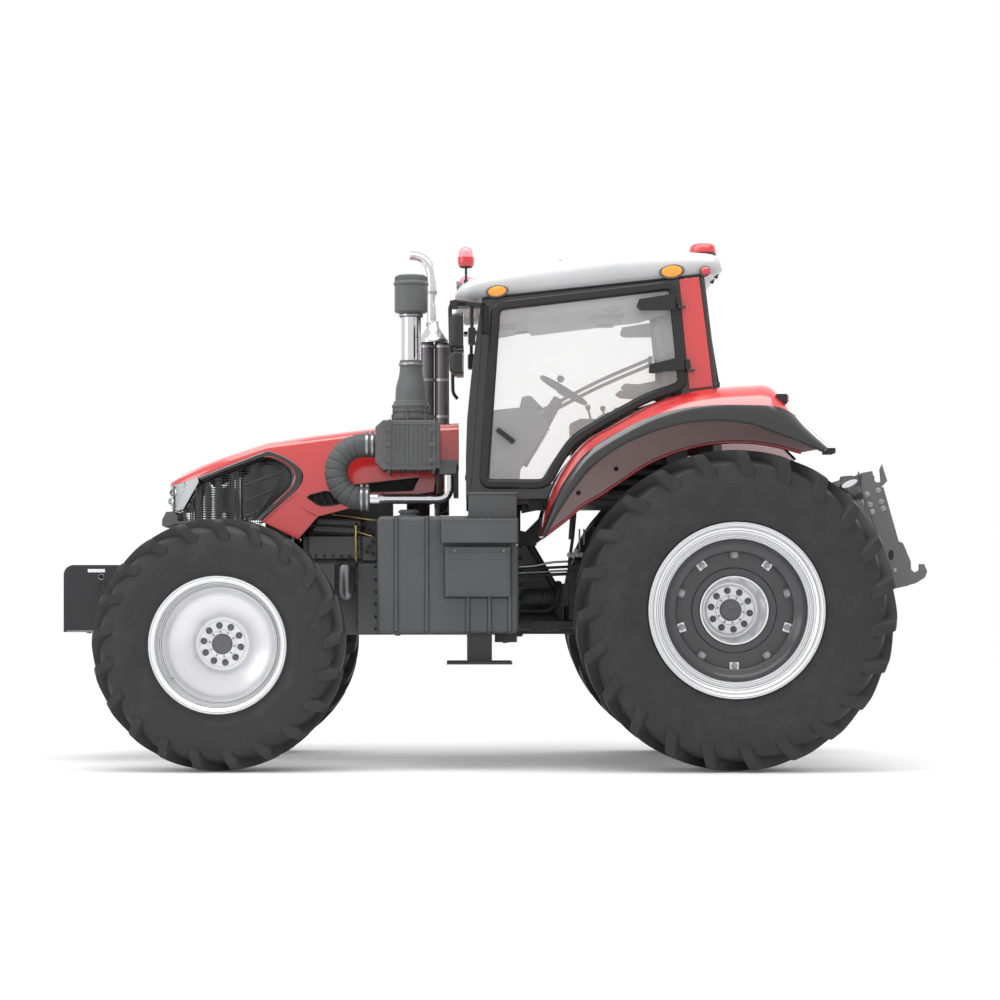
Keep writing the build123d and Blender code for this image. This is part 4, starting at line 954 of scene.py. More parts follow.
def makeBoxes():
    form = Shape()
    form.blocks((1215, 1493, 812, 938, 1440, 1590), (1209, 1499, 806, 944, 1578, 1593),
        (1213, 1649, 951, 1018, 1302, 1438), (1209, 1653, 950, 1020, 1424, 1441), (1253, 1627, 950, 984, 996, 1278),
        (1247, 1633, 950, 990, 1264, 1281), (1265, 1615, 950, 987, 1010, 1252))
    form.mirrored()
    form.piece("step_boxes_shaped", "tankPlastic", bevel=0.009, steps=3, replaces="step_boxes")
    small = Shape()
    for x in (1290, 1570):
        small.nut((x, 984, 1258), (0, 1, 0), 0.005, 0.004, 1.3, 0)
    small.rod((1216, 953, 1290), (1216, 1016, 1290), 0.005)
    small.mirrored()
    small.piece("box_fittings", "nutSteel", **fine)


def makeSteps():
    form = Shape()
    x0, x1, y0, y1, z = 1242, 1615, 645, 998, 609
    for box in ((x0, x1, y0, y0 + 8), (x0, x1, y1 - 8, y1), (x0, x0 + 8, y0, y1), (x1 - 8, x1, y0, y1)):
        form.mm(*box, z, z + 15)
    for k in range(1, int((x1 - x0) / 26)):
        form.mm(x0 + 26 * k - 3, x0 + 26 * k + 3, y0 + 4, y1 - 4, z + 2, z + 13)
    for k in range(1, int((y1 - y0) / 44)):
        form.mm(x0 + 4, x1 - 4, y0 + 44 * k - 3, y0 + 44 * k + 3, z + 1, z + 10)
    for x in (1357, 1488):
        form.mm(x, x + 12, 700, 900, 618, 787)
    form.blocks((1357, 1500, 890, 902, 618, 787), (1357, 1500, 700, 902, 756, 787), (1212, 1339, 640, 800, 732, 790))
    form.piece("step_treads", "blackPaint", bevel=0.0015, steps=1, replaces="steps")


makeTanks()
makeBoxes()
makeSteps()
print("tanks and steps made")

# air intake and exhaust

airSet = {
    "back": 1657, "front": 2035, "bottom": 1719, "top": 2016, "inner": 500, "outer": 880, "middle": 690, "ribs": 9,
    "hoseHigh": 1872, "hoseLow": 1562, "bendStart": 2104, "bend": 155, "hose": 0.0675,
}


def makeAirCleaner():
    back, front, bottom, top, inner, outer = (airSet[key]
        for key in ("back", "front", "bottom", "top", "inner", "outer"))
    form = Shape()
    outline = [(back + 30, bottom + 6), (front - 52, bottom + 6), (front - 8, bottom + 48), (front - 8, top - 46),
        (front - 52, top - 6), (back + 30, top - 6)]
    form.prism(outline, inner + 4, outer - 9)
    form.mm(back, back + 26, inner + 10, outer - 14, bottom + 14, top - 14)
    for x in (back + 24, front - 96):  # clamp flanges
        form.mm(x, x + 12, inner, outer, bottom, top)
    form.blocks((1560, back + 5, airSet["middle"] - 58, airSet["middle"] + 58, 1704, 1788),
        (1660, 1680, inner, inner + 60, 1459, bottom + 4))
    form.piece("air_cleaner_case", "darkPlastic", bevel=0.009, steps=3, replaces="air_cleaner")
    ribs = Shape()
    first, last = back + 58, front - 118
    for k in range(airSet["ribs"]):
        x = first + (last - first) * k / (airSet["ribs"] - 1)
        ribs.blocks((x - 4, x + 4, outer - 12, outer - 2, bottom + 34, top - 34),
            (x - 4, x + 4, inner + 20, outer - 20, top - 10, top - 1),
            (x - 4, x + 4, inner + 20, outer - 20, bottom + 1, bottom + 10))
    for z in (bottom + 26, top - 32):
        ribs.mm(first - 12, last + 12, outer - 12, outer - 4, z, z + 6)
    for x in (back + 30, front - 90):
        for z in (bottom + 60, (bottom + top) / 2, top - 60):
            ribs.mm(x - 8, x + 26, outer - 4, outer + 4, z - 14, z + 14)
            ribs.rod((x + 9, outer + 3, z), (x + 9, outer + 9, z), 0.007, sides=12)
        ribs.rod((x + 6, outer - 40, bottom - 14), (x + 6, outer - 40, bottom + 2), 0.01, sides=12)
        ribs.rod((x + 6, inner + 60, bottom - 14), (x + 6, inner + 60, bottom + 2), 0.01, sides=12)
    ribs.piece("air_cleaner_ribs", "darkPlastic", bevel=0.0025)


def makeHose():
    front, middle, high, low, start, bend = (airSet[key]
        for key in ("front", "middle", "hoseHigh", "hoseLow", "bendStart", "bend"))
    line = [at(front, middle, high), at(start - 20, middle, high)]
    for k in range(31):
        a = pi * k / 30
        line.append(at(start + bend * sin(a), middle, high - bend + bend * cos(a)))
    line += [at(start - 20, middle, low), at(2066, middle, low)]
    lengths = np.cumsum([0] + [(b - a).length for a, b in zip(line, line[1:])])
    count = 300
    path, radii = [], []
    for k in range(count + 1):
        d = lengths[-1] * k / count
        i = min(len(line) - 2, int(np.searchsorted(lengths, d, "right")) - 1)
        t = (d - lengths[i]) / (lengths[i + 1] - lengths[i])
        path.append(line[i].lerp(line[i + 1], t))
        plain = d < 0.075 or d > lengths[-1] - 0.055
        wave = 0.5 + 0.5 * cos(2 * pi * d / 0.046)
        radii.append(airSet["hose"] + (0.001 if plain else 0.001 - 0.0045 * (1 - wave) ** 8))
    form = Shape()
    form.tube(path, radii, 36)
    form.piece("intake_hose_ribbed", "hoseRubber", angle=60, replaces="intake_hose")
    bands = Shape()
    for x, z in ((front + 14, high), (front + 46, high), (2080, low), (2112, low)):
        place = at(x, middle, z)
        bands.lathe(cuff(0, 7, 68, 71.5), place, (1, 0, 0), 48, closed=True)
        bands.box(place + Vector((-0.009, -0.012, 0.069)), place + Vector((0.009, 0.02, 0.083)))
        bands.rod(place + Vector((0, -0.03, 0.077)), place + Vector((0, 0.03, 0.077)), 0.004, sides=10)
    bands.piece("hose_bands", "nutSteel", bevel=0.0008, steps=1)
    pipe = Shape()
    pipe.pipe([(2064, middle, low), (1607, middle, low), (1607, middle, 1701)], 0.085, 0.0295, 32, 12)
    for x in (1990, 1720):
        pipe.lathe(cuff(0, 12, 29.8, 34), (x, middle, low), (1, 0, 0), 40, closed=True)
    pipe.piece("charge_pipe_polished", "chrome", angle=40, replaces="charge_pipe")


def makeStack():
    foot = at(1825, airSet["middle"], 0)
    form = Shape()
    base = [(2016, 0), (2016, 104), (2024, 110), (2040, 110), (2043, 102), (2062, 101), (2066, 107), (2090, 107),
        (2094, 112), (2106, 112), (2110, 104), (2126, 101), (2132, 92), (2205, 89), (2235, 82), (2275, 71),
        (2300, 67), (2330, 65.5), (2334, 69), (2352, 69), (2357, 66), (2366, 65), (2366, 56), (2450, 55.5)]
    form.lathe(base, foot, (0, 0, 1), 72)
    form.tint = 1
    form.lathe([(2360, 57.5), (2500, 57.2), (2640, 57.2)], foot, (0, 0, 1), 72)
    form.tint = 0
    cap = [(2615, 57.5), (2615, 64), (2636, 66), (2642, 88), (2648, 96), (2800, 96), (2804, 102), (2812, 103),
        (2820, 100), (2826, 92), (2852, 90), (2860, 80), (2863, 0)]
    form.lathe(cap, foot, (0, 0, 1), 72)
    for spoke in spokes(28, "xy"):  # dirt slots round the cap
        form.rod(foot + spoke * 0.093 + Vector((0, 0, 2.828)), foot + spoke * 0.0915 + Vector((0, 0, 2.85)),
            0.0032, sides=6)
    for spoke in spokes(6, "xy", 0.3):
        form.box(foot + spoke * 0.106 + Vector((-0.012, -0.012, 2.018)),
            foot + spoke * 0.106 + Vector((0.012, 0.012, 2.05)))
        form.rod(foot + spoke * 0.108 + Vector((0, 0, 2.05)), foot + spoke * 0.108 + Vector((0, 0, 2.098)),
            0.0045, sides=8)
    form.tint = 2
    for z, r in ((2343, 69.5), (2626, 66.5)):
        form.lathe(cuff(z, 6, r, r + 3), foot, (0, 0, 1), 48, closed=True)
        form.rod(foot + Vector((20, r + 6, z)) / 1000, foot + Vector((-20, r + 6, z)) / 1000, 0.0045, sides=8)
    form.piece("intake_stack_turned", ["darkPlastic", "chrome", "nutSteel"], angle=32, replaces="intake_stack")


def makeExhaust():
    y = -620
    form = Shape()
    for x, low in ((1658, 1500), (1753, 1900)):
        form.tint = 1
        form.lathe([(low, 0), (low, 46.5), (2578, 46.5), (2584, 42), (2584, 0)], (x, y, 0), (0, 0, 1), 48)
        form.tint = 2
        for z in (2120, 2350, 2560):
            form.lathe(cuff(z, 8, 46, 47.8), (x, y, 0), (0, 0, 1), 48, closed=True)
    form.tint = 0
    form.lathe([(2584, 0), (2584, 94), (2598, 94), (2612, 86), (2650, 60), (2680, 40), (2720, 33.5), (2720, 0)],
        (1713, y, 0), (0, 0, 1), 56)
    # open tail pipe, bent forward at the top
    line = bentLine([at(1723, y, 2680), at(1723, y, 3010), at(1745, y, 3090), at(1800, y, 3128), at(1858, y, 3132)],
        0.08, 8)
    outer, inner = Shape(), Shape()
    outer.tube(line, 0.0295, 32)
    form.add(outer.points, outer.faces[:-2])
    inner.tube(line, 0.0262, 32)
    form.add(inner.points, [face[::-1] for face in inner.faces[:-1]])
    form.skin([outer.points[-32:], inner.points[-32:]], caps=False)
    form.tint = 2
    for z in (2700, 2900):
        form.lathe(cuff(z, 10, 30, 34.5), (1723, y, 0), (0, 0, 1), 40, closed=True)
    form.tint = 3
    form.rod((1658, y, 1555), (1658, -232, 1555), 0.043, sides=32)
    for z in (1700, 1960):
        form.mm(1600, 1810, -600, -585, z, z + 30)
    form.piece("exhaust_silencers", ["chrome", "piercedSteel", "nutSteel", "castGrey"], replaces="exhaust_stack")


makeAirCleaner()
makeHose()
makeStack()
makeExhaust()
print("intake and exhaust made")

# hood, grille and headlamps

# sections: x, half width, top, crease between the top and the side
hoodSet = {
    "sections": [(1550, 430, 2034, 1982), (1800, 431, 2022, 1972), (2080, 430, 2000, 1950), (2400, 426, 1960, 1910),
        (2690, 415, 1917, 1872), (2948, 385, 1834, 1786), (3100, 352, 1778, 1730), (3196, 316, 1732, 1690),
        (3236, 292, 1708, 1674), (3262, 262, 1682, 1664), (3274, 226, 1658, 1655)],
    "wall": 12, "floor": 1290,
    "lowerCut": [(1400, 1200), (1400, 1777), (1663, 1771), (1676, 1760), (1684, 1700), (1697, 1613), (2060, 1560),
        (2194, 1515), (2379, 1468), (2498, 1332), (2713, 1440), (2713, 1200)],
    "frameOuter": [(3092, 1701), (2877, 1782), (2699, 1848), (2654, 1848), (2580, 1819), (2521, 1782), (2484, 1745),
        (2469, 1715), (2476, 1671), (2506, 1626), (2580, 1560), (2713, 1443)],
    "frameInner": [(3060, 1668), (2870, 1738), (2729, 1790), (2665, 1800), (2620, 1785), (2573, 1757), (2551, 1731),
        (2544, 1700), (2550, 1672), (2573, 1632), (2640, 1568), (2759, 1450)],
    "vent": [(2444, 1580), (2424, 1595), (2335, 1617), (2262, 1603), (2240, 1545), (2298, 1533), (2357, 1530),
        (2386, 1540)],
    "slot": [(2179, 1652), (1782, 1695), (1820, 1622), (2068, 1611)],
    "nose": [(3060, 1701), (3175, 1675), (3276, 1652), (3500, 1640), (3500, 1150), (2714, 1150), (2714, 1446)],
}


def hoodAt(x):
    rows = hoodSet["sections"]
    spots = [row[0] for row in rows]
    return [float(np.interp(x, spots, [row[k] for row in rows])) for k in (1, 2, 3)]


def hoodLoop(x, inset):
    half, top, crease = hoodAt(x)
    half, top, crease = half - inset, top - inset, crease - inset
    line = [(0, top), (half * 0.3, top - 1), (half * 0.62, top - 6), (half - 84, top - 14), (half - 40, top - 24),
        (half - 14, crease + 12), (half - 4, crease), (half, crease - 12), (half, (crease + hoodSet["floor"]) / 2),
        (half, hoodSet["floor"])]
    return [(-y, z) for y, z in line[:0:-1]] + line


def cutBy(form, cutters):  # what is left of a closed form after its cutters
    whole = form.piece("whole", "redPaint")
    tool = cutters.piece("tool", "redPaint")
    cut = whole.modifiers.new("cut", "BOOLEAN")
    cut.operation, cut.object, cut.solver, cut.use_self = "DIFFERENCE", tool, "EXACT", True
    shaped = whole.evaluated_get(bpy.context.evaluated_depsgraph_get()).to_mesh()
    left = Shape()
    left.add([tuple(point.co) for point in shaped.vertices], [tuple(face.vertices) for face in shaped.polygons])
    for each in (whole, tool):
        bpy.data.objects.remove(each)
    return left


def makeHoodShell():
    xs = sorted({round(float(x)) for x in np.linspace(1550, 3196, 30)} | {3216, 3236, 3250, 3262, 3269, 3274})
    rows = []
    for x in xs:
        inside = min(x, 3262)
        rows.append([at(x, y, z) for y, z in hoodLoop(x, 0)]
            + [at(inside, y, z) for y, z in hoodLoop(inside, hoodSet["wall"])[::-1]])
    shell = Shape()
    shell.skin(rows)
    cutters = Shape()
    for outline in (hoodSet["lowerCut"], hoodSet["frameOuter"] + hoodSet["nose"][::-1], hoodSet["vent"],
            hoodSet["slot"]):
        cutters.prism(outline, -600, 600)
    cutBy(shell, cutters).piece("hood_shell", "redPaint", "hood", angle=24, replaces="hood")


def onHood(x, z, out):
    return at(x, hoodAt(x)[0] + out, z)


def evenly(line, count):
    line = [np.array(point, float) for point in line]
    lengths = np.cumsum([0] + [np.linalg.norm(b - a) for a, b in zip(line, line[1:])])
    return [tuple(np.interp(lengths[-1] * k / (count - 1), lengths, [p[i] for p in line]) for i in (0, 1))
        for k in range(count)]


def band(form, first, second, profile, count):  # a moulding between two lines on the hood's side
    pairs = zip(evenly(first, count), evenly(second, count))
    rows = [[onHood(a[0] + (b[0] - a[0]) * share, a[1] + (b[1] - a[1]) * share, out) for share, out in profile]
        for a, b in pairs]
    form.skin(rows)


def sideSheet(form, outline, out, thick, slice=70):
    work = bmesh.new()
    corners = [work.verts.new((x / 1000, 0, z / 1000)) for x, z in outline]
    work.faces.new(corners)
    low, high = min(x for x, _ in outline), max(x for x, _ in outline)
    for k in range(1, int((high - low) / slice) + 1):
        bmesh.ops.bisect_plane(work, geom=[*work.verts, *work.edges, *work.faces],
            plane_co=((low + k * slice) / 1000, 0, 0), plane_no=(1, 0, 0))
    work.verts.index_update()
    flat = [(v.co.x * 1000, v.co.z * 1000) for v in work.verts]
    faces = [tuple(v.index for v in face.verts) for face in work.faces]
    rim = [(edge.verts[0].index, edge.verts[1].index) for edge in work.edges if edge.is_boundary]
    work.free()
    n = len(flat)
    front = [onHood(x, z, out) for x, z in flat]
    back = [onHood(x, z, out - thick) for x, z in flat]
    form.add(front + back, faces + [tuple(n + k for k in face[::-1]) for face in faces]
        + [(a, b, n + b, n + a) for a, b in rim])


def makeHoodDetail():
    s = hoodSet
    frame = Shape()
    outer, inner = smoothLine(s["frameOuter"], 4), smoothLine(s["frameInner"], 4)
    band(frame, outer, inner, [(-0.02, -14), (-0.02, 1), (0.1, 6), (0.45, 7), (0.8, -2), (1.0, -22), (1.0, -34),
        (0.4, -30)], 90)
    frame.tint = 1  # thin red line inside the frame
    red = [((a[0] * 0.42 + b[0] * 0.58), (a[1] * 0.42 + b[1] * 0.58))
        for a, b in zip(evenly(outer, 60), evenly(inner, 60))]
    red = red[24:52]
    frame.tube([onHood(x, z, 5.5) for x, z in red], 0.0035, 8)
    frame.tint = 2
    upper = [(a[0] * 0.93 + b[0] * 0.07, a[1] * 0.93 + b[1] * 0.07)
        for a, b in zip(evenly(outer, 60), evenly(inner, 60))]
    frame.tube([onHood(x, z, 4.5) for x, z in upper[:24]], 0.0022, 6)
    frame.mirrored()
    frame.piece("grille_frames", ["glossBlack", "redPaint", "roofGrey"], "hood", angle=40)
    mesh = Shape()
    low = 1432
    window = s["frameInner"] + [(2790, low), (3232, low), (3190, 1508), (3096, 1668)]
    sideSheet(mesh, window, -24, 3)
    mesh.mirrored()
    mesh.piece("grille_mesh", "grilleMesh", "hood", replaces="hood_grilles")
    slats = Shape()
    for line in ([(2592, 1735), (2819, 1649)], [(2633, 1628), (2819, 1556)], [(2730, 1500), (2819, 1466)]):
        (x0, z0), (x1, z1) = line
        slats.skin([[onHood(x, z + dz, out) for dz, out in ((-7, -30), (7, -22), (7, -34), (-7, -44))]
            for x, z in ((x0 + (x1 - x0) * k / 6, z0 + (z1 - z0) * k / 6) for k in range(7))])
    dark = [(2592, 1737), (2633, 1623), (2730, 1494), (2752, 1466), (2830, 1466), (2830, 1700),
        (2700, 1776), (2640, 1772)]
    sideSheet(slats, dark, -34, 4)
    for x, z0, z1 in ((2975, 1500, 1676), (3092, 1440, 1640)):
        slats.skin([[onHood(x + dx, z, out) for dx, out in ((-12, -28), (12, -28), (12, -44), (-12, -44))]
            for z in (z0, z1)])
    slats.mirrored()
    slats.mm(2905, 3000, -250, 250, 1508, 1645)
    slats.piece("grille_slats", "darkPlastic", "hood", bevel=0.002, steps=1)
    makeHoodTrim()


def makeHoodTrim():
    s = hoodSet
    trim = Shape()
    # recessed duct behind the vent and the slot, lined in black: painted shade for the dark seen in the openings
    for outline, deep in ((s["vent"], 46), (s["slot"], 60)):
        sideSheet(trim, outline, -deep, 4, 200)
        closed = outline + outline[:1]
        for (x0, z0), (x1, z1) in zip(closed, closed[1:]):
            trim.add([onHood(x0, z0, -3), onHood(x0, z0, -deep), onHood(x1, z1, -deep), onHood(x1, z1, -3)],
                [(0, 1, 2, 3)])
        trim.tube([onHood(x, z, 0) for x, z in closed], 0.0042, 8)
    for k in range(3):  # fins in the vent
        x = 2290 + k * 44
        trim.skin([[onHood(x + dx + lean, z, out) for dx, out in ((-4, -8), (4, -8), (4, -40), (-4, -40))]
            for z, lean in ((1538, 0), (1608, 34))])
    # seal along the lower edge
    edge = s["lowerCut"][2:11]
    trim.tube([onHood(x, z + 3, -7) for x, z in edge], 0.0055, 8)
    trim.tint = 1  # raised crease on the lower leg
    trim.tube([onHood(x, z, 0) for x, z in ((2490, 1530), (2436, 1496), (2388, 1472))], [0.001, 0.004, 0.0045], 8)
    trim.tube([onHood(x, z, 0.5) for x, z in smoothLine([(2506, 1606), (2580, 1543), (2700, 1436)], 6)], 0.003, 8)
    trim.mirrored()
    trim.tint = 0
    trim.mm(3180, 3215, -30, 30, 1722, 1734)
    trim.piece("hood_trim", ["sealRubber", "redPaint"], "hood", angle=40)
    lamps = Shape()
    strip = [(3175, 1674), (3097, 1705), (3090, 1674), (3186, 1512), (3262, 1500), (3228, 1533), (3168, 1635)]
    sideSheet(lamps, strip, 6, 22, 60)
    lens = [(3181, 1674), (3168, 1637), (3228, 1535), (3262, 1512), (3272, 1560), (3273, 1620), (3272, 1652)]
    lamps.tint = 1
    sideSheet(lamps, lens, 3, 4, 20)
    lamps.tint = 2
    sideSheet(lamps, lens, -36, 6, 30)
    for z, r in ((1612, 24), (1560, 20)):
        lamps.tint = 3
        middle = onHood(3236 if z > 1600 else 3250, z, -30)
        lamps.lathe([(0, 0), (0, r), (30, r * 1.1), (31, r * 0.86), (12, r * 0.5), (10, 0)], middle,
            (0.55, 0.83, 0), 28)
    lamps.mirrored()
    # front face: lens strips, mesh, chin
    lamps.tint = 1
    for _ in lamps.sides():
        lamps.mm(3262, 3270, 118, 224, 1536, 1650)
        lamps.tint = 3
        for y in (145, 196):
            lamps.lathe([(0, 0), (0, 22), (20, 26), (22, 20), (8, 10), (6, 0)], (3238, y, 1592), (1, 0, 0), 24)
        lamps.tint = 1
    lamps.piece("headlamp_units", ["roofGrey", "lampGlass", "darkPlastic", "chrome"], "hood", replaces="headlights")
    front = Shape()
    front.mm(3240, 3247, -300, 300, 1446, 1652)
    front.tint = 1
    for z in (1532, 1652):
        front.tube([(3262, y, z) for y in (-228, -120, 0, 120, 228)], 0.006, 10)
    for y in (-112, 112):
        front.tube([(3262, y, 1532), (3262, y, 1652)], 0.006, 10)
    chin = [(3240, 1500), (3288, 1498), (3312, 1452), (3313, 1416), (3290, 1404), (3224, 1428), (3222, 1470)]
    front.prism(chin, -318, 318)
    front.prism([(3100, 1448), (3230, 1440), (3230, 1424), (3100, 1430)], -330, 330)
    front.tint = 2
    for y in (-60, 0, 60):
        front.mm(3312, 3315, y - 22, y + 22, 1425, 1431)
    front.piece("hood_front", ["grilleMesh", "darkPlastic", "sealRubber"], "hood", bevel=0.003)


makeHoodShell()
makeHoodDetail()
print("hood made")

# doors and the outside of the cab

doorSet = {
    "outline": [(1430, 1619), (1357, 2690), (293, 2815), (234, 2222), (275, 2178), (446, 2123), (668, 2003),
        (868, 1884), (952, 1762), (1026, 1619)],
    "frame": 46, "near": 808, "far": 846, "pane": 826, "hinges": [(232, 2331), (284, 2696)], "axisY": 862,
    "covers": [[(252, 2300), (252, 2366), (300, 2366), (452, 2330), (456, 2284), (440, 2278), (300, 2296)],
        [(302, 2642), (302, 2728), (350, 2730), (512, 2704), (526, 2660), (505, 2640)]],
}


def ringLine(points, radius, steps=6):  # a closed outline with rounded corners
    points = [Vector((x, 0, z)) for x, z in points]
    line = []
    for before, corner, after in zip([points[-1], *points], points, [*points[1:], points[0]]):
        line += roundCorner(before, corner, after, radius, 0.45, steps)
    return [(p.x, p.z) for p in line]


def inset(line, amount):  # a closed line moved to its inner side
    area = sum(x0 * z1 - x1 * z0 for (x0, z0), (x1, z1) in zip(line, line[1:] + line[:1]))
    hand = 1 if area > 0 else -1
    moved = []
    for before, here, after in zip(line[-1:] + line[:-1], line, line[1:] + line[:1]):
        way = Vector((after[0] - before[0], after[1] - before[1])).normalized()
        moved.append((here[0] - way.y * amount * hand, here[1] + way.x * amount * hand))
    return moved


def ringBand(form, line, profile, hand=1):  # profile: how far in, and y
    rows = [sideLine(inset(line, deep), hand * y) for deep, y in profile]
    form.skin([list(row) for row in zip(*rows)], closedEnds=True)


def makeDoors():
    s = doorSet
    line = ringLine(s["outline"], 75)
    for hand, side in ((1, "left"), (-1, "right")):
        form = Shape()
        ringBand(form, line, [(0, s["near"]), (0, s["far"] - 6), (7, s["far"]), (s["frame"] - 8, s["far"]),
            (s["frame"], s["far"] - 7), (s["frame"], s["near"])], hand)
        for (x, z), cover in zip(s["hinges"], s["covers"]):
            lean = (284 - 232) / (2696 - 2331)
            form.rod((x - lean * 25, hand * s["axisY"], z - 25), (x + lean * 25, hand * s["axisY"], z + 25), 0.016)
            form.prism(cover, hand * (s["far"] - 2), hand * 872)
        form.tint = 1
        ringBand(form, inset(line, -3), [(0, s["near"] - 4), (0, s["near"] + 3), (16, s["near"] + 3),
            (16, s["near"] - 4)], hand)
        ringBand(form, line, [(s["frame"] - 3, s["pane"] - 5), (s["frame"] - 3, s["pane"] + 5),
            (s["frame"] + 7, s["pane"] + 4), (s["frame"] + 7, s["pane"] - 4)], hand)
        form.piece(f"door_frame_{side}", ["doorBlack", "sealRubber"], f"door_{side}", angle=40,
            replaces=f"door_{side}")
        pane = Shape()
        edge = inset(line, s["frame"] - 2)
        pane.skin([[at(x, hand * (s["pane"] - 3), z) for x, z in edge],
            [at(x, hand * (s["pane"] + 3), z) for x, z in edge]])
        pane.piece(f"door_pane_{side}", "cabGlass", f"door_{side}", angle=40, replaces=f"door_glass_{side}")
        bits = Shape()
        turn = Matrix.Rotation(radians(-37.5), 3, "Y")
        for y0, y1, long, wide in ((838, 850, 62, 14), (828, 838, 48, 9)):
            middle = at(1278, hand * (y0 + y1) / 2, 1920)
            half = Vector((long / 1000, (y1 - y0) / 2000, wide / 1000))
            bits.box(middle - half, middle + half, turn, middle)
        bits.tint = 1
        if side == "right":  # grab rails
            for low, high in (((1010, 2140), (331, 2462)), ((1000, 2182), (331, 2500))):
                middle = ((low[0] + high[0]) / 2, (low[1] + high[1]) / 2 + 14)
                line = smoothLine([low, middle, high], 8)
                bits.tube(sideLine(line, hand * 770), 0.0115, 16)
            for x, z in ((1000, 2160), (338, 2480)):
                bits.rod((x, hand * 765, z), (x, hand * 822, z), 0.013)
                bits.mm(x - 14, x + 14, hand * 758, hand * 782, z - 34, z + 34)
        bits.piece(f"door_fittings_{side}", ["sealRubber", "cabPlastic"], f"door_{side}", bevel=0.002)


def makeCabOutside():
    form = Shape()
    cover = [(278, 2826), (163, 2838), (140, 2660), (104, 2380), (84, 2206), (221, 2190), (238, 2360), (262, 2600)]
    form.prism(cover, 800, 818)
    form.tint = 1
    form.prism([(163, 2838), (140, 2841), (58, 2210), (84, 2206), (104, 2380), (140, 2660)], 800, 812)
    form.prism([(1400, 2700), (1416, 2712), (1444, 2518), (1478, 2250), (1500, 2019), (1507, 1800), (1506, 1562),
        (1480, 1562)], 735, 805)
    form.mirrored()
    form.piece("pillar_covers", ["redPaint", "glossBlack"], bevel=0.004, steps=3, angle=30)
    seal = Shape()
    ringBand(seal, inset(ringLine(doorSet["outline"], 75), 22), [(0, 801), (0, 804.5), (14, 804.5), (14, 801)])
    seal.mirrored()
    seal.piece("door_seals", "sealRubber")
    mirrors = Shape()
    for hand in mirrors.sides():
        for z0, z1, x0 in ((2402, 2602, 1521), (2256, 2386, 1524))[:2 if hand > 0 else 1]:
            rows = []
            for x, shrink in ((x0, 0), (x0 + 40, 0), (x0 + 66, 10), (x0 + 76, 26)):
                y0, y1, low, high = 962 + shrink, 1138 - shrink, z0 + shrink, z1 - shrink
                rows.append([at(x, hand * y, z)
                    for y, z in ringLine([(y0, low), (y1, low), (y1, high), (y0, high)], 30, 5)])
            mirrors.tint = 0
            mirrors.skin(rows)
            mirrors.tint = 1
            plate = inset(ringLine([(962, z0), (1138, z0), (1138, z1), (962, z1)], 30, 5), 9)
            mirrors.skin([[at(x0 + 2, hand * y, z) for y, z in plate], [at(x0 - 2, hand * y, z) for y, z in plate]])
        mirrors.tint = 0
        mirrors.pipe([(1560, 1050, 2262), (1590, 1050, 2300), (1597, 1050, 2640), (1578, 1050, 2672),
            (1520, 960, 2676), (1400, 800, 2676)], 0.05, 0.0115, 14)
        mirrors.blocks((1552, 1598, 1034, 1066, 2628, 2676), (1418, 1556, 800, 960, 2655, 2672),
            (1375, 1420, 800, 832, 2512, 2668), (1392, 1404, 832, 846, 2540, 2650))
        mirrors.rod((1392, 842, 2512), (1392, 842, 2668), 0.011)
        # work lamp beside the mirror
        mirrors.blocks((1452, 1492, 850, 935, 2440, 2535), (1462, 1482, 884, 900, 2535, 2660))
        mirrors.tint = 2
        mirrors.mm(1492, 1497, 858, 927, 2448, 2527)
    mirrors.piece("mirror_sets", ["doorBlack", "mirrorGlass", "clearLens"], bevel=0.003, angle=40, replaces="mirrors")
    wipers = Shape()
    wipers.rod((1482, 0, 1712), (1512, 0, 1712), 0.016)
    wipers.tube([(1504, 0, 1716), (1480, 260, 2080)], 0.006, 8)
    wipers.tube([(1484, 120, 1960), (1470, 380, 2190)], 0.006, 8)
    wipers.mm(-30, -8, -24, 24, 2244, 2290)
    wipers.tube([(-26, 0, 2262), (40, 190, 2540)], 0.006, 8)
    wipers.mm(-62, -24, -260, 260, 1700, 1812)
    wipers.tint = 1
    wipers.mm(-67, -60, -255, 255, 1705, 1807)
    wipers.tint = 2
    for _ in wipers.sides():
        for k in range(3):
            wipers.tint = (2, 3, 4)[k]
            wipers.mm(-66, -56, 380 + 62 * k, 436 + 62 * k, 1640, 1710)
        wipers.tint = 0
        wipers.mm(-58, -24, 372, 566, 1632, 1718)
    wipers.piece("cab_back_fittings", ["sealRubber", "roofGrey", "redLens", "amberLens", "clearLens"], bevel=0.002)


# inside the cab

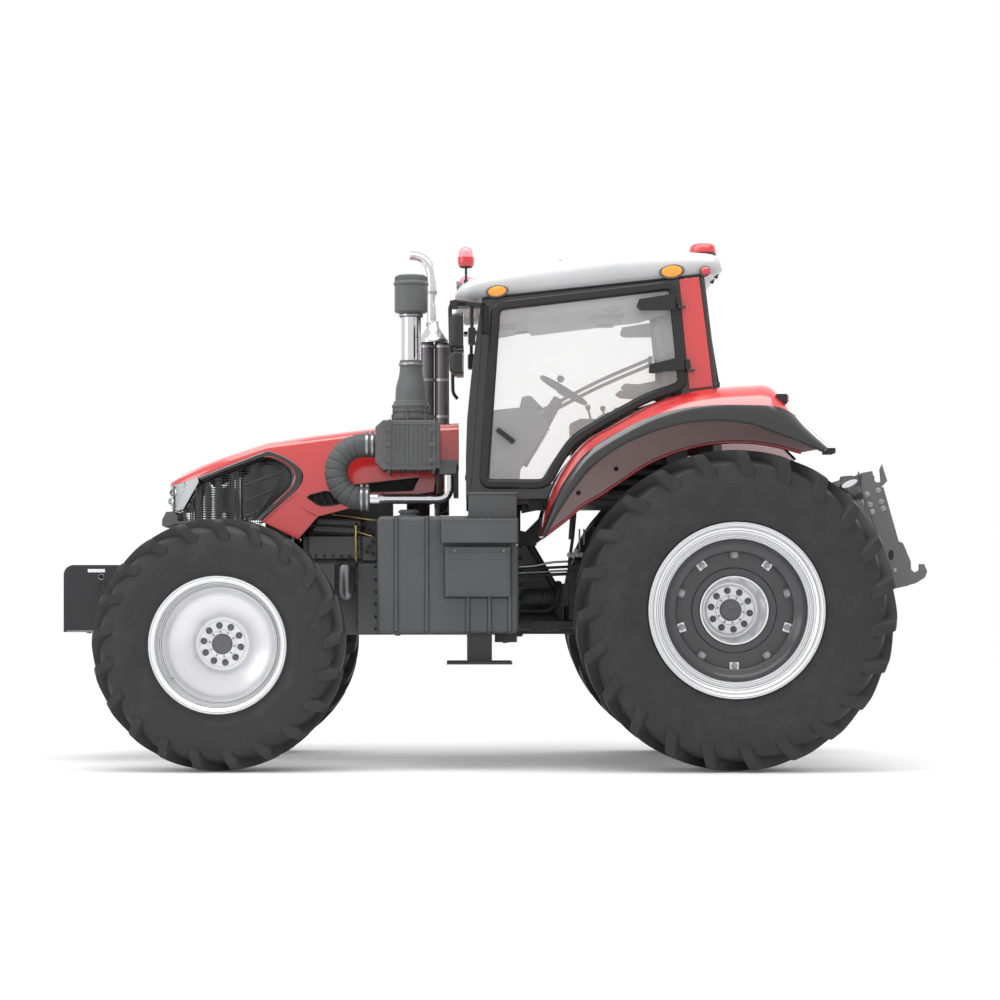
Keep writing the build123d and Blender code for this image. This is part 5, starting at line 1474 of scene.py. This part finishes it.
def cushion(corners, tall, crown):
    # a stuffed pad with a crowned face, rounded edges and stitched channels
    (x0, x1), (y0, y1), z0 = corners
    form = Shape()
    count = 36
    rows = []
    for i in range(count + 1):
        u = i / count * 2 - 1
        row = []
        for j in range(count + 1):
            v = j / count * 2 - 1
            edge = (1 - abs(u) ** 5) ** 0.42 * (1 - abs(v) ** 5) ** 0.42
            seam = 0.006 * (exp(-((abs(v) - 0.55) / 0.035) ** 2) + exp(-((u - 0.1) / 0.04) ** 2) * (abs(v) < 0.55))
            dish = 0.012 * (1 - v * v) * (1 - u * u) - 0.01 * (1 - min(1, abs(v) * 1.6) ** 2)
            row.append((x0 + (x1 - x0) * (u + 1) / 2, y0 + (y1 - y0) * (v + 1) / 2,
                z0 + tall * edge + (crown * edge * (1 - 0.5 * u * u) + dish - seam) * 1000 * (edge > 0.3)))
        rows.append(row)
    top = [[at(x, y, z) for x, y, z in row] for row in rows]
    form.skin(top, closedRows=False)
    low = [[at(x0 + (x - x0) * 0.96 + (x1 - x0) * 0.02, y * 0.96, z0 - 20) for x, y, _ in row] for row in rows]
    form.skin([row[::-1] for row in low], closedRows=False)
    ring = lambda grid: grid[0] + [row[-1] for row in grid[1:]] + grid[-1][-2::-1] + [row[0] for row in grid[-2:0:-1]]
    form.skin([ring(low), ring(top)], caps=False)
    return form


def makeSeat():
    pad = cushion(((262, 742), (-245, 245), 2010), 78, 0.02)
    made = pad.piece("seat_cushion", "seatCloth", angle=60, soften=1, replaces="seat")
    back = cushion(((0, 600), (-225, 225), 0), 84, 0.02)
    turn = Matrix.Rotation(radians(-80), 3, "Y")
    low = at(0, 0, 0)
    back.points = [tuple(at(236, 0, 2062) + turn @ (Vector(point) - low)) for point in back.points]
    made = back.piece("seat_backrest", "seatCloth", angle=60, soften=1)
    shell = Shape()
    shell.prism([(232, 2000), (742, 2000), (752, 2018), (700, 2030), (262, 2030), (212, 2120), (120, 2640),
        (96, 2640), (176, 2100)], -232, 232)
    shell.prism([(100, 2520), (176, 2500), (164, 2650), (140, 2664), (104, 2658)], -140, 140)
    for _ in shell.sides():
        shell.prism([(240, 2190), (560, 2215), (590, 2235), (560, 2262), (230, 2240)], 262, 318)
        shell.rod((215, 240, 2210), (215, 300, 2210), 0.022)
    shell.piece("seat_shell", "cabPlastic", bevel=0.012, steps=3)
    base = Shape()
    rows = []
    for k in range(13):  # bellows of the suspension
        z = 1600 + 370 * k / 12
        out = 0 if k % 2 else 16
        rows.append([at(x, y, z) for x, y in ringLine([(310 - out, -165 - out), (650 + out, -165 - out),
            (650 + out, 165 + out), (310 - out, 165 + out)], 50)])
    base.skin(rows)
    base.tint = 1
    base.blocks((280, 690, -190, 190, 1561, 1600), (280, 690, -190, 190, 1970, 1998))
    base.rod((640, 190, 1985), (660, 250, 1985), 0.012)
    # side console with its levers
    base.prism([(320, 1562), (320, 2050), (420, 2084), (800, 2090), (862, 2060), (840, 1562)], -560, -295)
    base.tint = 0
    for x, tall, lean in ((560, 50, 10), (640, 60, 14), (730, 66, 16)):
        base.tube([(x, -420, 2084), (x + lean, -420, 2084 + tall)], 0.007, 10)
        base.lathe([(-4, 0), (0, 12), (14, 17), (28, 16), (34, 0)], (x + lean, -420, 2084 + tall), (0.15, 0, 1), 20)
    base.mm(470, 770, -470, -370, 2084, 2092)
    for k in range(8):
        base.mm(500 + 34 * k, 520 + 34 * k, -540, -500, 2084, 2096)
    base.piece("seat_base_shaped", ["sealRubber", "cabPlastic", "redPaint"], bevel=0.003, replaces="seat_base")


def makeDash():
    form = Shape()
    form.prism([(1432, 1562), (1376, 2084), (1330, 2104), (1150, 2122), (1075, 2100), (1010, 2016), (1060, 1930),
        (1180, 1760), (1200, 1562)], -322, 322)
    form.prism([(1190, 2100), (1170, 2190), (1120, 2196), (1040, 2116), (1060, 2080)], -210, 210)
    foot, hub = at(1180, 0, 1800), at(918, 0, 2237)
    way = (hub - foot).normalized()
    form.tube([foot, foot + way * 0.2, hub - way * 0.05], [0.05, 0.045, 0.032], 24)
    form.tint = 1
    for k in range(10):
        form.rod(foot + way * (0.1 + k * 0.018), foot + way * (0.108 + k * 0.018), 0.056, 0.05, 24)
    form.tint = 2
    tilt = (Vector((-0.66, 0, 0.75))).normalized()
    for y, r in ((-110, 50), (0, 62), (110, 50)):
        form.lathe([(0, 0), (0, r), (8, r * 1.06), (12, r)], (1062 + 18, y, 2150 - 10), tilt, 32)
    form.tint = 1
    for _ in form.sides():
        form.tube([(1010, 40, 2090), (985, 190, 2120)], [0.005, 0.007], 10)
        for k in range(3):
            form.mm(1060 + 40 * k, 1084 + 40 * k, 250, 290, 2108, 2126)
    # pedals
    for y in (-200, -110, 150):
        form.tube([(1300, y, 1780), (1180, y, 1640)], 0.011, 10)
        form.mm(1130, 1190, y - 36, y + 36, 1610, 1630, Matrix.Rotation(radians(-40), 3, "Y"))
    form.piece("dash_shaped", ["cabPlastic", "sealRubber", "lampGlass"], bevel=0.006, steps=3, replaces="dashboard")
    wheel = Shape()
    tilt = (hub - foot).normalized()
    middle = hub + tilt * 0.006
    wheel.tube(ringPoints(middle, tilt, 0.163 - 0.011, 64), 0.0125, 14, True)
    side = Vector((0, 1, 0))
    up = tilt.cross(side)
    for a in (90, 210, 330):
        spoke = side * cos(radians(a)) + up * sin(radians(a))
        wheel.tube([middle - tilt * 0.01, middle + spoke * 0.08 - tilt * 0.008, middle + spoke * 0.148],
            [0.016, 0.012, 0.009], 10)
    wheel.lathe([(-20, 0), (-20, 30), (0, 46), (12, 42), (18, 20), (19, 0)], middle - tilt * 0.01, tilt, 32)
    knob = middle + side * 0.14 - up * 0.05
    wheel.lathe([(0, 6), (20, 6), (24, 20), (50, 22), (58, 12), (59, 0)], knob, tilt, 20)
    wheel.piece("steering_wheel_shaped", "sealRubber", angle=50, replaces="steering_wheel")


def makeCabInside():
    form = Shape()
    form.prism([(1344, 2690), (1330, 2650), (1126, 2668), (1092, 2634), (420, 2716), (250, 2770), (250, 2786)], -690,
        690)
    form.tint = 1
    form.mm(180, 1480, -560, 560, 1560, 1568)
    for k in range(24):
        form.mm(760, 1180, -540 + 45 * k, -532 + 45 * k, 1568, 1572)
    form.tint = 2
    form.prism([(1340, 2640), (1200, 2660), (1200, 2630), (1330, 2606)], -600, -120)
    form.mm(560, 760, -160, 160, 2660, 2690)
    for _ in form.sides():
        form.mm(150, 200, 560, 700, 2235, 2700)
        form.pipe([(1350, 730, 2560), (1330, 690, 2560), (1350, 690, 2240), (1370, 730, 2240)], 0.03, 0.012, 12)
        form.rod((640, 500, 2672), (640, 500, 2690), 0.055, sides=28)
    form.mm(210, 330, 470, 590, 1568, 1880)
    form.piece("cab_lining", ["paleLining", "sealRubber", "cabPlastic"], bevel=0.004)
    floor = Shape()
    floor.blocks((20, 1500, -590, 590, 1531, 1558), (1142, 1504, -780, 780, 1531, 1558))
    for y in (-150, 150):
        floor.blocks((120, 240, y - 50, y + 50, 1182, 1531), (1180, 1206, y - 40, y + 40, 1341, 1531))
    floor.piece("cab_floor_pan", "blackPaint", replaces="cab_floor")


makeDoors()
makeCabOutside()
makeSeat()
makeDash()
makeCabInside()
print("cab made")

# engine, gearbox and what shows between the wheels

def boltRow(form, start, end, count, axis, size=0.009, height=0.009):
    start, end = form.spot(start), form.spot(end)
    for k in range(count):
        form.nut(start.lerp(end, k / max(1, count - 1)), axis, size, height, 1.3, 0)


def makeEngine():
    form = Shape()
    form.mm(1202, 2478, -226, 226, 1062, 1352)
    form.prism([(1240, 765), (2440, 765), (2478, 830), (2478, 1062), (1202, 1062), (1202, 830)], -205, 205)
    form.blocks((1230, 2450, -186, 186, 1352, 1462), (1950, 2430, -150, 150, 1462, 1560))
    form.prism([(1960, 1560), (2420, 1560), (2410, 1598), (1970, 1598)], -120, 120)
    for k in range(9):
        x = 1270 + 140 * k
        form.pair(x, x + 12, 222, 230, 1075, 1340)
    for z in (1066, 1204, 1340):
        form.pair(1206, 2474, 222, 230, z, z + 10)
    for hand in form.sides():
        boltRow(form, (1230, 205, 1040), (2450, 205, 1040), 18, (0, hand, 0), 0.008)
        boltRow(form, (1250, 186, 1372), (2430, 186, 1372), 14, (0, hand, 0), 0.008)
    form.lathe([(0, 0), (0, 160), (20, 165), (30, 140), (50, 140), (50, 0)], (2478, 0, 900), (1, 0, 0), 48)
    form.mm(2470, 2482, -180, 180, 1080, 1470)
    form.piece("engine_shaped", "castGrey", bevel=0.006, replaces="engine_block")
    bits = Shape()
    # plate and fittings on the left, ahead of the tank
    bits.tint = 2
    bits.prism([(2040, 1352), (2040, 1210), (2120, 1210), (2120, 1330), (2128, 1352)], 228, 262)
    bits.prism([(2136, 1352), (2136, 1222), (2420, 1222), (2440, 1262), (2440, 1352)], 228, 270)
    bits.prism([(2136, 1462), (2136, 1366), (2430, 1366), (2380, 1462)], 200, 262)
    bits.prism([(2030, 1190), (2030, 772), (2150, 772), (2150, 1190)], 228, 270)
    bits.prism([(2290, 1190), (2290, 772), (2440, 792), (2440, 1190)], 228, 262)
    bits.tint = 0
    boltRow(bits, (2152, 270, 1240), (2152, 270, 1336), 3, (0, 1, 0), 0.007)
    boltRow(bits, (2200, 270, 1236), (2400, 270, 1236), 5, (0, 1, 0), 0.007)
    boltRow(bits, (2044, 270, 800), (2044, 270, 1170), 6, (0, 1, 0), 0.008)
    for x, z in ((2062, 1250), (2084, 1292), (2062, 1320), (2098, 1262)):
        bits.rod((x, 262, z), (x, 282, z), 0.012, sides=12)
    bits.tint = 3
    bits.lathe([(0, 0), (0, 46), (12, 50), (160, 50), (185, 42), (205, 28), (208, 0)],
        (2218, 280, 1182), (0, 0, -1), 36)
    bits.tint = 0
    bits.mm(2165, 2272, 230, 318, 1172, 1196)
    for z in (1376, 1420, 1462):
        bits.pipe([(2440, 200, z), (2440, 262, z), (2120, 262, z - 14), (2120, 225, z - 14)], 0.02, 0.008, 10)
    bits.tint = 1  # brass coloured lines
    bits.pipe([(2320, 262, 1488), (2284, 300, 1483), (2052, 300, 1449), (1960, 260, 1440)], 0.03, 0.0065, 10)
    bits.pipe([(2161, 236, 1440), (2161, 275, 1420), (2161, 275, 1200), (2161, 236, 1190)], 0.03, 0.0085, 12)
    bits.pipe([(2161, 275, 1384), (2142, 280, 1376), (2059, 284, 1353), (2000, 240, 1348)], 0.02, 0.006, 10)
    for z in (1410, 1330, 1250):
        bits.rod((2161, 275, z - 8), (2161, 275, z + 8), 0.012, sides=6)
    bits.tint = 0
    # belt drive, alternator and fan
    bits.lathe([(0, 0), (0, 90), (8, 90), (14, 78), (22, 78), (28, 90), (34, 90), (34, 0)],
        (2482, 0, 940), (1, 0, 0), 40)
    bits.lathe([(0, 0), (0, 60), (8, 60), (16, 50), (26, 60), (34, 60), (34, 0)], (2482, 0, 1260), (1, 0, 0), 40)
    bits.lathe([(-140, 0), (-140, 60), (-120, 70), (0, 70), (10, 60), (10, 35), (30, 35), (30, 0)],
        (2480, -150, 1390), (1, 0, 0), 32)
    bits.tube([(2500, y, z) for y, z in ((-90, 940), (-82, 900), (-40, 858), (0, 850), (40, 858), (82, 900),
        (90, 940), (62, 1270), (20, 1322), (-20, 1322), (-150, 1426), (-186, 1390), (-160, 1340))], 0.006, 8, True)
    hub = at(2528, 0, 1260)
    for spoke in spokes(7, "yz"):
        cross = Vector((0, -spoke.z, spoke.y))
        bits.skin([[hub + spoke * r + cross * w + Vector((t, 0, 0)) for w, t in ((-s, -0.012), (s, 0.012), (s, 0.016),
            (-s, -0.008))] for r, s in ((0.05, 0.03), (0.16, 0.055), (0.25, 0.06))])
    bits.lathe([(0, 0), (0, 60), (20, 60), (20, 0)], (2518, 0, 1260), (1, 0, 0), 28)
    # exhaust manifold and charger on the right
    bits.tint = 2
    for k in range(6):
        x = 1400 + 170 * k
        bits.pipe([(x, -186, 1440), (x, -250, 1440), (x - 30, -262, 1452)], 0.03, 0.026, 16)
    bits.tube([(1380, -262, 1452), (2280, -262, 1452)], 0.036, 18)
    bits.lathe([(-70, 0), (-70, 70), (-30, 100), (30, 100), (70, 66), (70, 0)], (1800, -290, 1530), (1, 0, 0), 36)
    bits.piece("engine_fittings", ["blackPaint", "brassPipe", "castGrey", "guardSteel"], bevel=0.003, steps=1)
    core = Shape()
    core.mm(2568, 2692, -300, 300, 1075, 1752)
    for k in range(34):
        z = 1090 + 19.4 * k
        core.mm(2562, 2698, -296, 296, z, z + 4)
    core.tint = 1
    core.blocks((2562, 2698, -318, 318, 1748, 1798), (2562, 2698, -318, 318, 1040, 1078),
        (2562, 2698, -320, -298, 1042, 1798), (2562, 2698, 298, 320, 1042, 1798))
    core.lathe([(0, 0), (0, 50), (30, 50), (34, 56), (50, 54), (50, 0)], (2630, 180, 1796), (0, 0, 1), 28)
    core.tint = 2
    core.pipe([(2570, 200, 1760), (2500, 200, 1760), (2430, 120, 1580)], 0.06, 0.028, 16)
    core.pipe([(2570, -200, 1110), (2500, -200, 1110), (2470, -120, 1180)], 0.05, 0.03, 16)
    core.piece("radiator_core", ["guardSteel", "blackPaint", "hoseRubber"], replaces="radiator")


def makeGearbox():
    form = Shape()
    form.prism([(-250, 660), (-230, 640), (400, 640), (420, 670), (420, 1150), (390, 1180), (-230, 1180),
        (-250, 1160)], -200, 200)
    form.prism([(420, 800), (1200, 800), (1200, 1339), (1160, 1333), (1016, 1085), (980, 1072), (420, 1072)], -196,
        196)
    form.prism([(-248, 1180), (-248, 1350), (-220, 1380), (60, 1380), (100, 1340), (100, 1180)], -148, 148)
    form.mm(-240, -120, -200, 200, 561, 640)
    for x in (-140, 40, 220, 400):
        form.pair(x, x + 14, 198, 206, 660, 1160)
    for z in (700, 900, 1120):
        form.pair(-240, 414, 198, 206, z, z + 12)
    for x in (560, 740, 920, 1100):
        form.pair(x, x + 12, 194, 204, 806, 1066)
    form.tint = 1
    form.rod((-180, -470, 600), (-180, 470, 600), 0.02, sides=28)
    for hand in form.sides():
        form.rod((-180, 455, 600), (-180, 470, 600), 0.034, sides=28)
        form.mm(-320, -252, 21, 39, 1010, 1090)
        form.rod((-295, 20, 1050), (-295, 44, 1050), 0.032, sides=24)
        for z in (700, 860, 1020, 1140):
            form.nut((-251, 180, z), (-1, 0, 0), 0.012, 0.012)
        boltRow(form, (1180, 196, 830), (1180, 196, 1300), 7, (0, hand, 0), 0.01)
        boltRow(form, (436, 198, 820), (436, 198, 1060), 4, (0, hand, 0), 0.01)
    form.rod((-295, -39, 1050), (-295, 39, 1050), 0.0125, sides=20)
    # splined power take-off with its shield
    form.tint = 2
    profile = [(0, 0), (0, 45), (20, 45), (22, 22.2), (86, 22.2), (90, 19), (90, 0)]
    form.lathe(profile, (-250, 0, 700), (-1, 0, 0), 36)
    for spoke in spokes(12, "yz"):
        form.rod(at(-278, 0, 700) + spoke * 0.0205, at(-338, 0, 700) + spoke * 0.0205, 0.0024, sides=6)
    form.tint = 1
    form.prism([(-250, 800), (-372, 790), (-378, 800), (-252, 812)], -130, 130)
    for _ in form.sides():
        form.prism([(-250, 700), (-250, 806), (-374, 794), (-340, 730)], 122, 130)
    # rear couplers
    form.mm(-312, -250, -132, 132, 1215, 1330)
    for k in range(6):
        y, z = -95 + 63 * (k % 4 if k < 4 else k - 3.5), 1298 if k < 4 else 1246
        form.tint = 2
        form.lathe([(0, 0), (0, 21), (24, 21), (28, 17), (46, 17), (46, 11), (30, 10), (30, 0)],
            (-312, y, z), (-1, 0, 0), 24)
        form.tint = 3 if k % 2 else 1
        form.lathe(cuff(6, 6, 23.5, 26.5), (-312, y, z), (-1, 0, 0), 24, closed=True)
    form.piece("gearbox_shaped", ["castGrey", "blackPaint", "nutSteel", "redPaint"], bevel=0.004,
        replaces="transmission_housing")
    bits = Shape()
    for x0, x1, z, r, y in ((976, 1177, 985, 56, 290), (953, 1195, 843, 46, 330)):
        long = x1 - x0
        bits.lathe([(0, 0), (0, r * 0.8), (20, r), (50, r), (55, r * 1.1), (70, r * 1.1), (75, r), (long - 30, r),
            (long, r * 0.85), (long, 0)], (x0, y, z), (1, 0, 0), 36)
        bits.mm((x0 + x1) / 2 - 30, (x0 + x1) / 2 + 30, 196, y, z - 20, z + 20)
    bits.tube([(1141, 235, 1333), (975, 235, 1050)], 0.021, 14)
    bits.pipe([(905, 250, 930), (900, 300, 830), (1010, 320, 800), (1190, 320, 812)], 0.05, 0.018, 14)
    bits.pipe([(1190, 300, 905), (1000, 300, 905), (960, 300, 1000), (955, 260, 1080)], 0.06, 0.02, 14)
    bits.prism([(1182, 1550), (1123, 1547), (1028, 1550), (1010, 1525), (1028, 1499), (1100, 1497), (1182, 1480)],
        570, 640)
    bits.prism([(1160, 1552), (1060, 1552), (1060, 1500), (1140, 1490)], 640, 700)
    bits.prism([(1205, 1392), (1153, 1380), (1071, 1462), (1058, 1462), (1094, 1290), (1138, 1332), (1205, 1339)],
        300, 312)
    bits.prism([(1205, 1376), (1130, 1350), (1090, 1400), (1076, 1400), (1086, 1300), (1205, 1300)], 196, 300)
    bits.prism([(1290, 790), (1183, 790), (1235, 729), (1290, 722)], 520, 600)
    bits.prism([(1120, 812), (1000, 808), (885, 809), (870, 850), (1120, 850)], 205, 480)
    bits.prism([(905, 1330), (884, 1330), (874, 1560), (890, 1560)], 505, 540)
    bits.pipe([(872, 530, 1530), (866, 520, 1483), (880, 500, 1330), (899, 480, 1196), (896, 440, 1130)], 0.05, 0.01,
        12)
    bits.tint = 1
    for z0, z1, r, y in ((1175, 1203, 0.007, 330), (1138, 1150, 0.0065, 300)):
        bits.tube(bentLine([at(1230, y, z0 - 4), at(1100, y, z0), at(1010, y, z1 - 6), at(880, y, z1)], 0.1), r, 12)
    for x, z0, z1 in ((840, 1262, 1392), (814, 1300, 1392)):
        bits.rod((x, 520, z0), (x, 520, z1), 0.0055, sides=12)
    for x, z in ((899, 1240), (878, 1236), (850, 1240), (826, 1240), (860, 1262)):
        bits.nut((x, 500, z), (0, 1, 0), 0.011, 0.012)
    bits.tint = 0
    for z0, z1, r, y in ((1160, 1172, 0.009, 315), (1122, 1130, 0.01, 340)):
        bits.tube(bentLine([at(1230, y, z0 - 4), at(1100, y, z0), at(1010, y, z1 - 6), at(880, y, z1)], 0.1), r, 12)
    bits.prism([(905, 1255), (780, 1255), (780, 1228), (905, 1228)], 470, 500)
    bits.blocks((820, 900, 420, 474, 860, 1180), (860, 884, 474, 490, 880, 1140))
    # drive shaft to the front axle
    for x0, x1 in ((418, 1240), (2440, 2812)):
        bits.rod((x0, 0, 790), (x1, 0, 790), 0.024, sides=24)
        for x in (x0 + 50, x1 - 50):
            bits.lathe([(-30, 0), (-30, 30), (-20, 40), (20, 40), (30, 30), (30, 0)], (x, 0, 790), (1, 0, 0), 24)
    bits.piece("side_fittings", ["blackPaint", "nutSteel"], bevel=0.0025, steps=1)


# front frame, axle and carrier trim

hubHeight = 722  # of the front wheels, in millimetres


def makeFrontTrim():
    form = Shape()
    for hand in form.sides():
        boltRow(form, (2520, 230, 880), (3500, 230, 880), 9, (0, hand, 0), 0.012, 0.012)
        boltRow(form, (2520, 230, 1000), (3500, 230, 1000), 9, (0, hand, 0), 0.012, 0.012)
        for z in (850, 940, 1030, 1120):
            form.nut((3560, 300, z), (0, hand, 0), 0.011, 0.01)
        form.tube(ringPoints(at(3675, hand * 301, 1111), (0, 1, 0), 0.016, 24), 0.002, 8, True)
        form.tint = 1
        form.mm(3653, 3756, 296, 301, 1138, 1158)
        form.tint = 2
        form.rod((3677, 298, 1070), (3677, 302, 1070), 0.012, sides=20)
        form.blocks((3684, 3688, 298, 302, 1020, 1062), (3648, 3652, 298, 302, 1030, 1100))
        form.tint = 0
        form.mm(3560, 3880, 298, 302, 786, 792)
    # pin with its handle through the tow hole
    form.rod((3790, 0, 770), (3790, 0, 812), 0.0155, sides=24)
    form.rod((3790, 0, 812), (3790, 0, 824), 0.026, sides=24)
    form.tube([(3790, -40, 830), (3790, -30, 858), (3790, 30, 858), (3790, 40, 830)], 0.006, 10)
    form.piece("front_bolts", ["nutSteel", "wheelSilver", "sealRubber"], **fine)
    for side, hand in (("left", 1), ("right", -1)):
        bits = Shape()
        for z, up in ((hubHeight - 120.3, -1), (hubHeight + 120.3, 1)):
            bits.lathe([(0, 0), (0, 45), (10, 45), (14, 30), (14, 0)], (2912, hand * 650, z), (0, 0, up), 28)
        for a in turns(10):
            bits.nut((2912 + 92 * cos(a), hand * 738, hubHeight + 92 * sin(a)), (0, -hand, 0), 0.009, 0.01, 1.2, 0)
        bits.piece(f"knuckle_bolts_{side}", "nutSteel", f"knuckle_{side}", **fine)
    rod = Shape()
    z = hubHeight - 136
    for _ in rod.sides():
        rod.rod((2712, 520, z), (2712, 590, z), 0.019, sides=6)
        rod.nut((2712, 650, z - 17), (0, 0, -1), 0.016, 0.016, 1.3, 0.5)
    rod.piece("tie_rod_ends", "nutSteel", "tie_rod", **fine)


# linkage details

def makeHitchDetail():
    form = Shape()
    for hand in form.sides():
        for x, z in ((-852, 1597), (-918, 1620), (-870, 1536), (-935, 1554), (-883, 1494), (-947, 1514)):
            form.tint = 1
            form.nut((x, 487, z), (0, hand, 0), 0.011, 0.009, 1.5, 0.5)
        form.tint = 2
        form.skin([[at(-994 + 16 * cos(a), hand * y, 1240 + 30 * sin(a)) for a in turns(24)] for y in (486, 488.5)])
        form.tint = 1
        form.nut((-1016, 487, 1151), (0, hand, 0), 0.009, 0.008, 1.3, 0)
        form.tint = 0
        form.prism([(-820, 1615), (-950, 1639), (-1040, 1320), (-1110, 1200), (-1100, 1060), (-1027, 1043),
            (-930, 1043), (-880, 1300)], 470, 483)
        # stiffener and latch
        form.prism([(-691, 1654), (-711, 1684), (-873, 1733), (-905, 1700), (-883, 1644)], 430, 444)
        form.tint = 3
        form.skin([[at(-755 + 46 * cos(a) - 10 * sin(a), hand * y, 1660 + 22 * sin(a) - 13 * cos(a))
            for a in turns(28)] for y in (444, 450)])
    form.piece("hitch_frame_fittings", ["castGrey", "nutSteel", "sealRubber", "wheelSilver"], "hitch_frame",
        bevel=0.0015, steps=1)
    lift = Shape()
    start, end = Vector((-560, 1540)), Vector((-635, 860))
    for hand in (1, -1):
        def spot(share):
            p = start.lerp(end, share)
            return at(p.x, hand * 370, p.y)
        lift.rod(spot(0.28), spot(0.72), 0.03, sides=24)
        lift.rod(spot(0.24), spot(0.28), 0.034, sides=6)
        lift.rod(spot(0.72), spot(0.76), 0.034, sides=6)
        lift.rod(spot(0.5) + Vector((0, hand * 0.02, 0)), spot(0.5) + Vector((0, hand * 0.075, 0)), 0.008, sides=10)
        lift.tube(ringPoints(spot(0.5) + Vector((0, hand * 0.075, 0)), (0, 1, 0), 0.03, 24), 0.006, 8, True)
    lift.piece("lift_rod_barrels", "nutSteel", "lift_rods", **fine)
    top = Shape()
    start, end = at(-295, 0, 1050), at(-800, 0, 1690)
    top.rod(start.lerp(end, 0.2), start.lerp(end, 0.8), 0.0265, sides=24)
    for a, b in ((0.16, 0.2), (0.8, 0.84)):
        top.rod(start.lerp(end, a), start.lerp(end, b), 0.031, sides=6)
    top.tube([start.lerp(end, 0.42) + Vector((0, 0.03, 0)), start.lerp(end, 0.5) + Vector((0, 0.06, 0.0)),
        start.lerp(end, 0.6) + Vector((0, 0.035, 0))], 0.006, 10)
    top.piece("top_link_barrel", "nutSteel", "top_link", **fine)
    arms = Shape()
    for hand in arms.sides():
        for x, z, r in ((-120, 1300, 0.036), (-560, 1540, 0.024)):
            arms.nut((x, 341, z), (0, hand, 0), r, 0.012, 1.15, 0)
    arms.piece("lift_arm_pins", "nutSteel", "lift_arms", **fine)
    links = Shape()
    for hand in links.sides():
        links.nut((-635, 451, 860), (0, hand, 0), 0.022, 0.014, 1.3, 0.4)
        links.lathe([(0, 0), (0, 42), (6, 42), (10, 30), (10, 0)], (-1090, 450, 1120), (0, hand, 0), 24)
    links.piece("lower_link_pins", "nutSteel", "lower_links", **fine)
    bar = Shape()
    bar.rod((-740, 0, 482), (-740, 0, 500), 0.028, sides=20)
    bar.mm(-215, -185, -62, -58, 486, 556)
    bar.nut((-200, 62, 520), (0, 1, 0), 0.014, 0.012)
    bar.nut((-200, -62, 520), (0, -1, 0), 0.014, 0.012)
    bar.piece("drawbar_fittings", "nutSteel", **fine)


makeEngine()
makeGearbox()
makeFrontTrim()
makeHitchDetail()
print("running gear and linkage made")


# finishes of the solids that stay as they come

plainNodes = {
    "blackPaint": ["front_frame", "weight_carrier", "lift_arms", "lift_rods", "top_link", "tie_rod", "drawbar"],
    "castGrey": ["hitch_frame", "lower_links", "rear_axle_housing", "front_axle", "cowl_frame",
        "steering_knuckle_left", "steering_knuckle_right"],
    "glossBlack": ["cab_frame"], "cabGlass": ["cab_glass"],
}


def dressCad():
    for finish, nodes in plainNodes.items():
        for node in nodes:
            for slot in frame["nodes"][node].material_slots:
                slot.material = finishes[finish].material


dressCad()
print("carried nodes dressed")
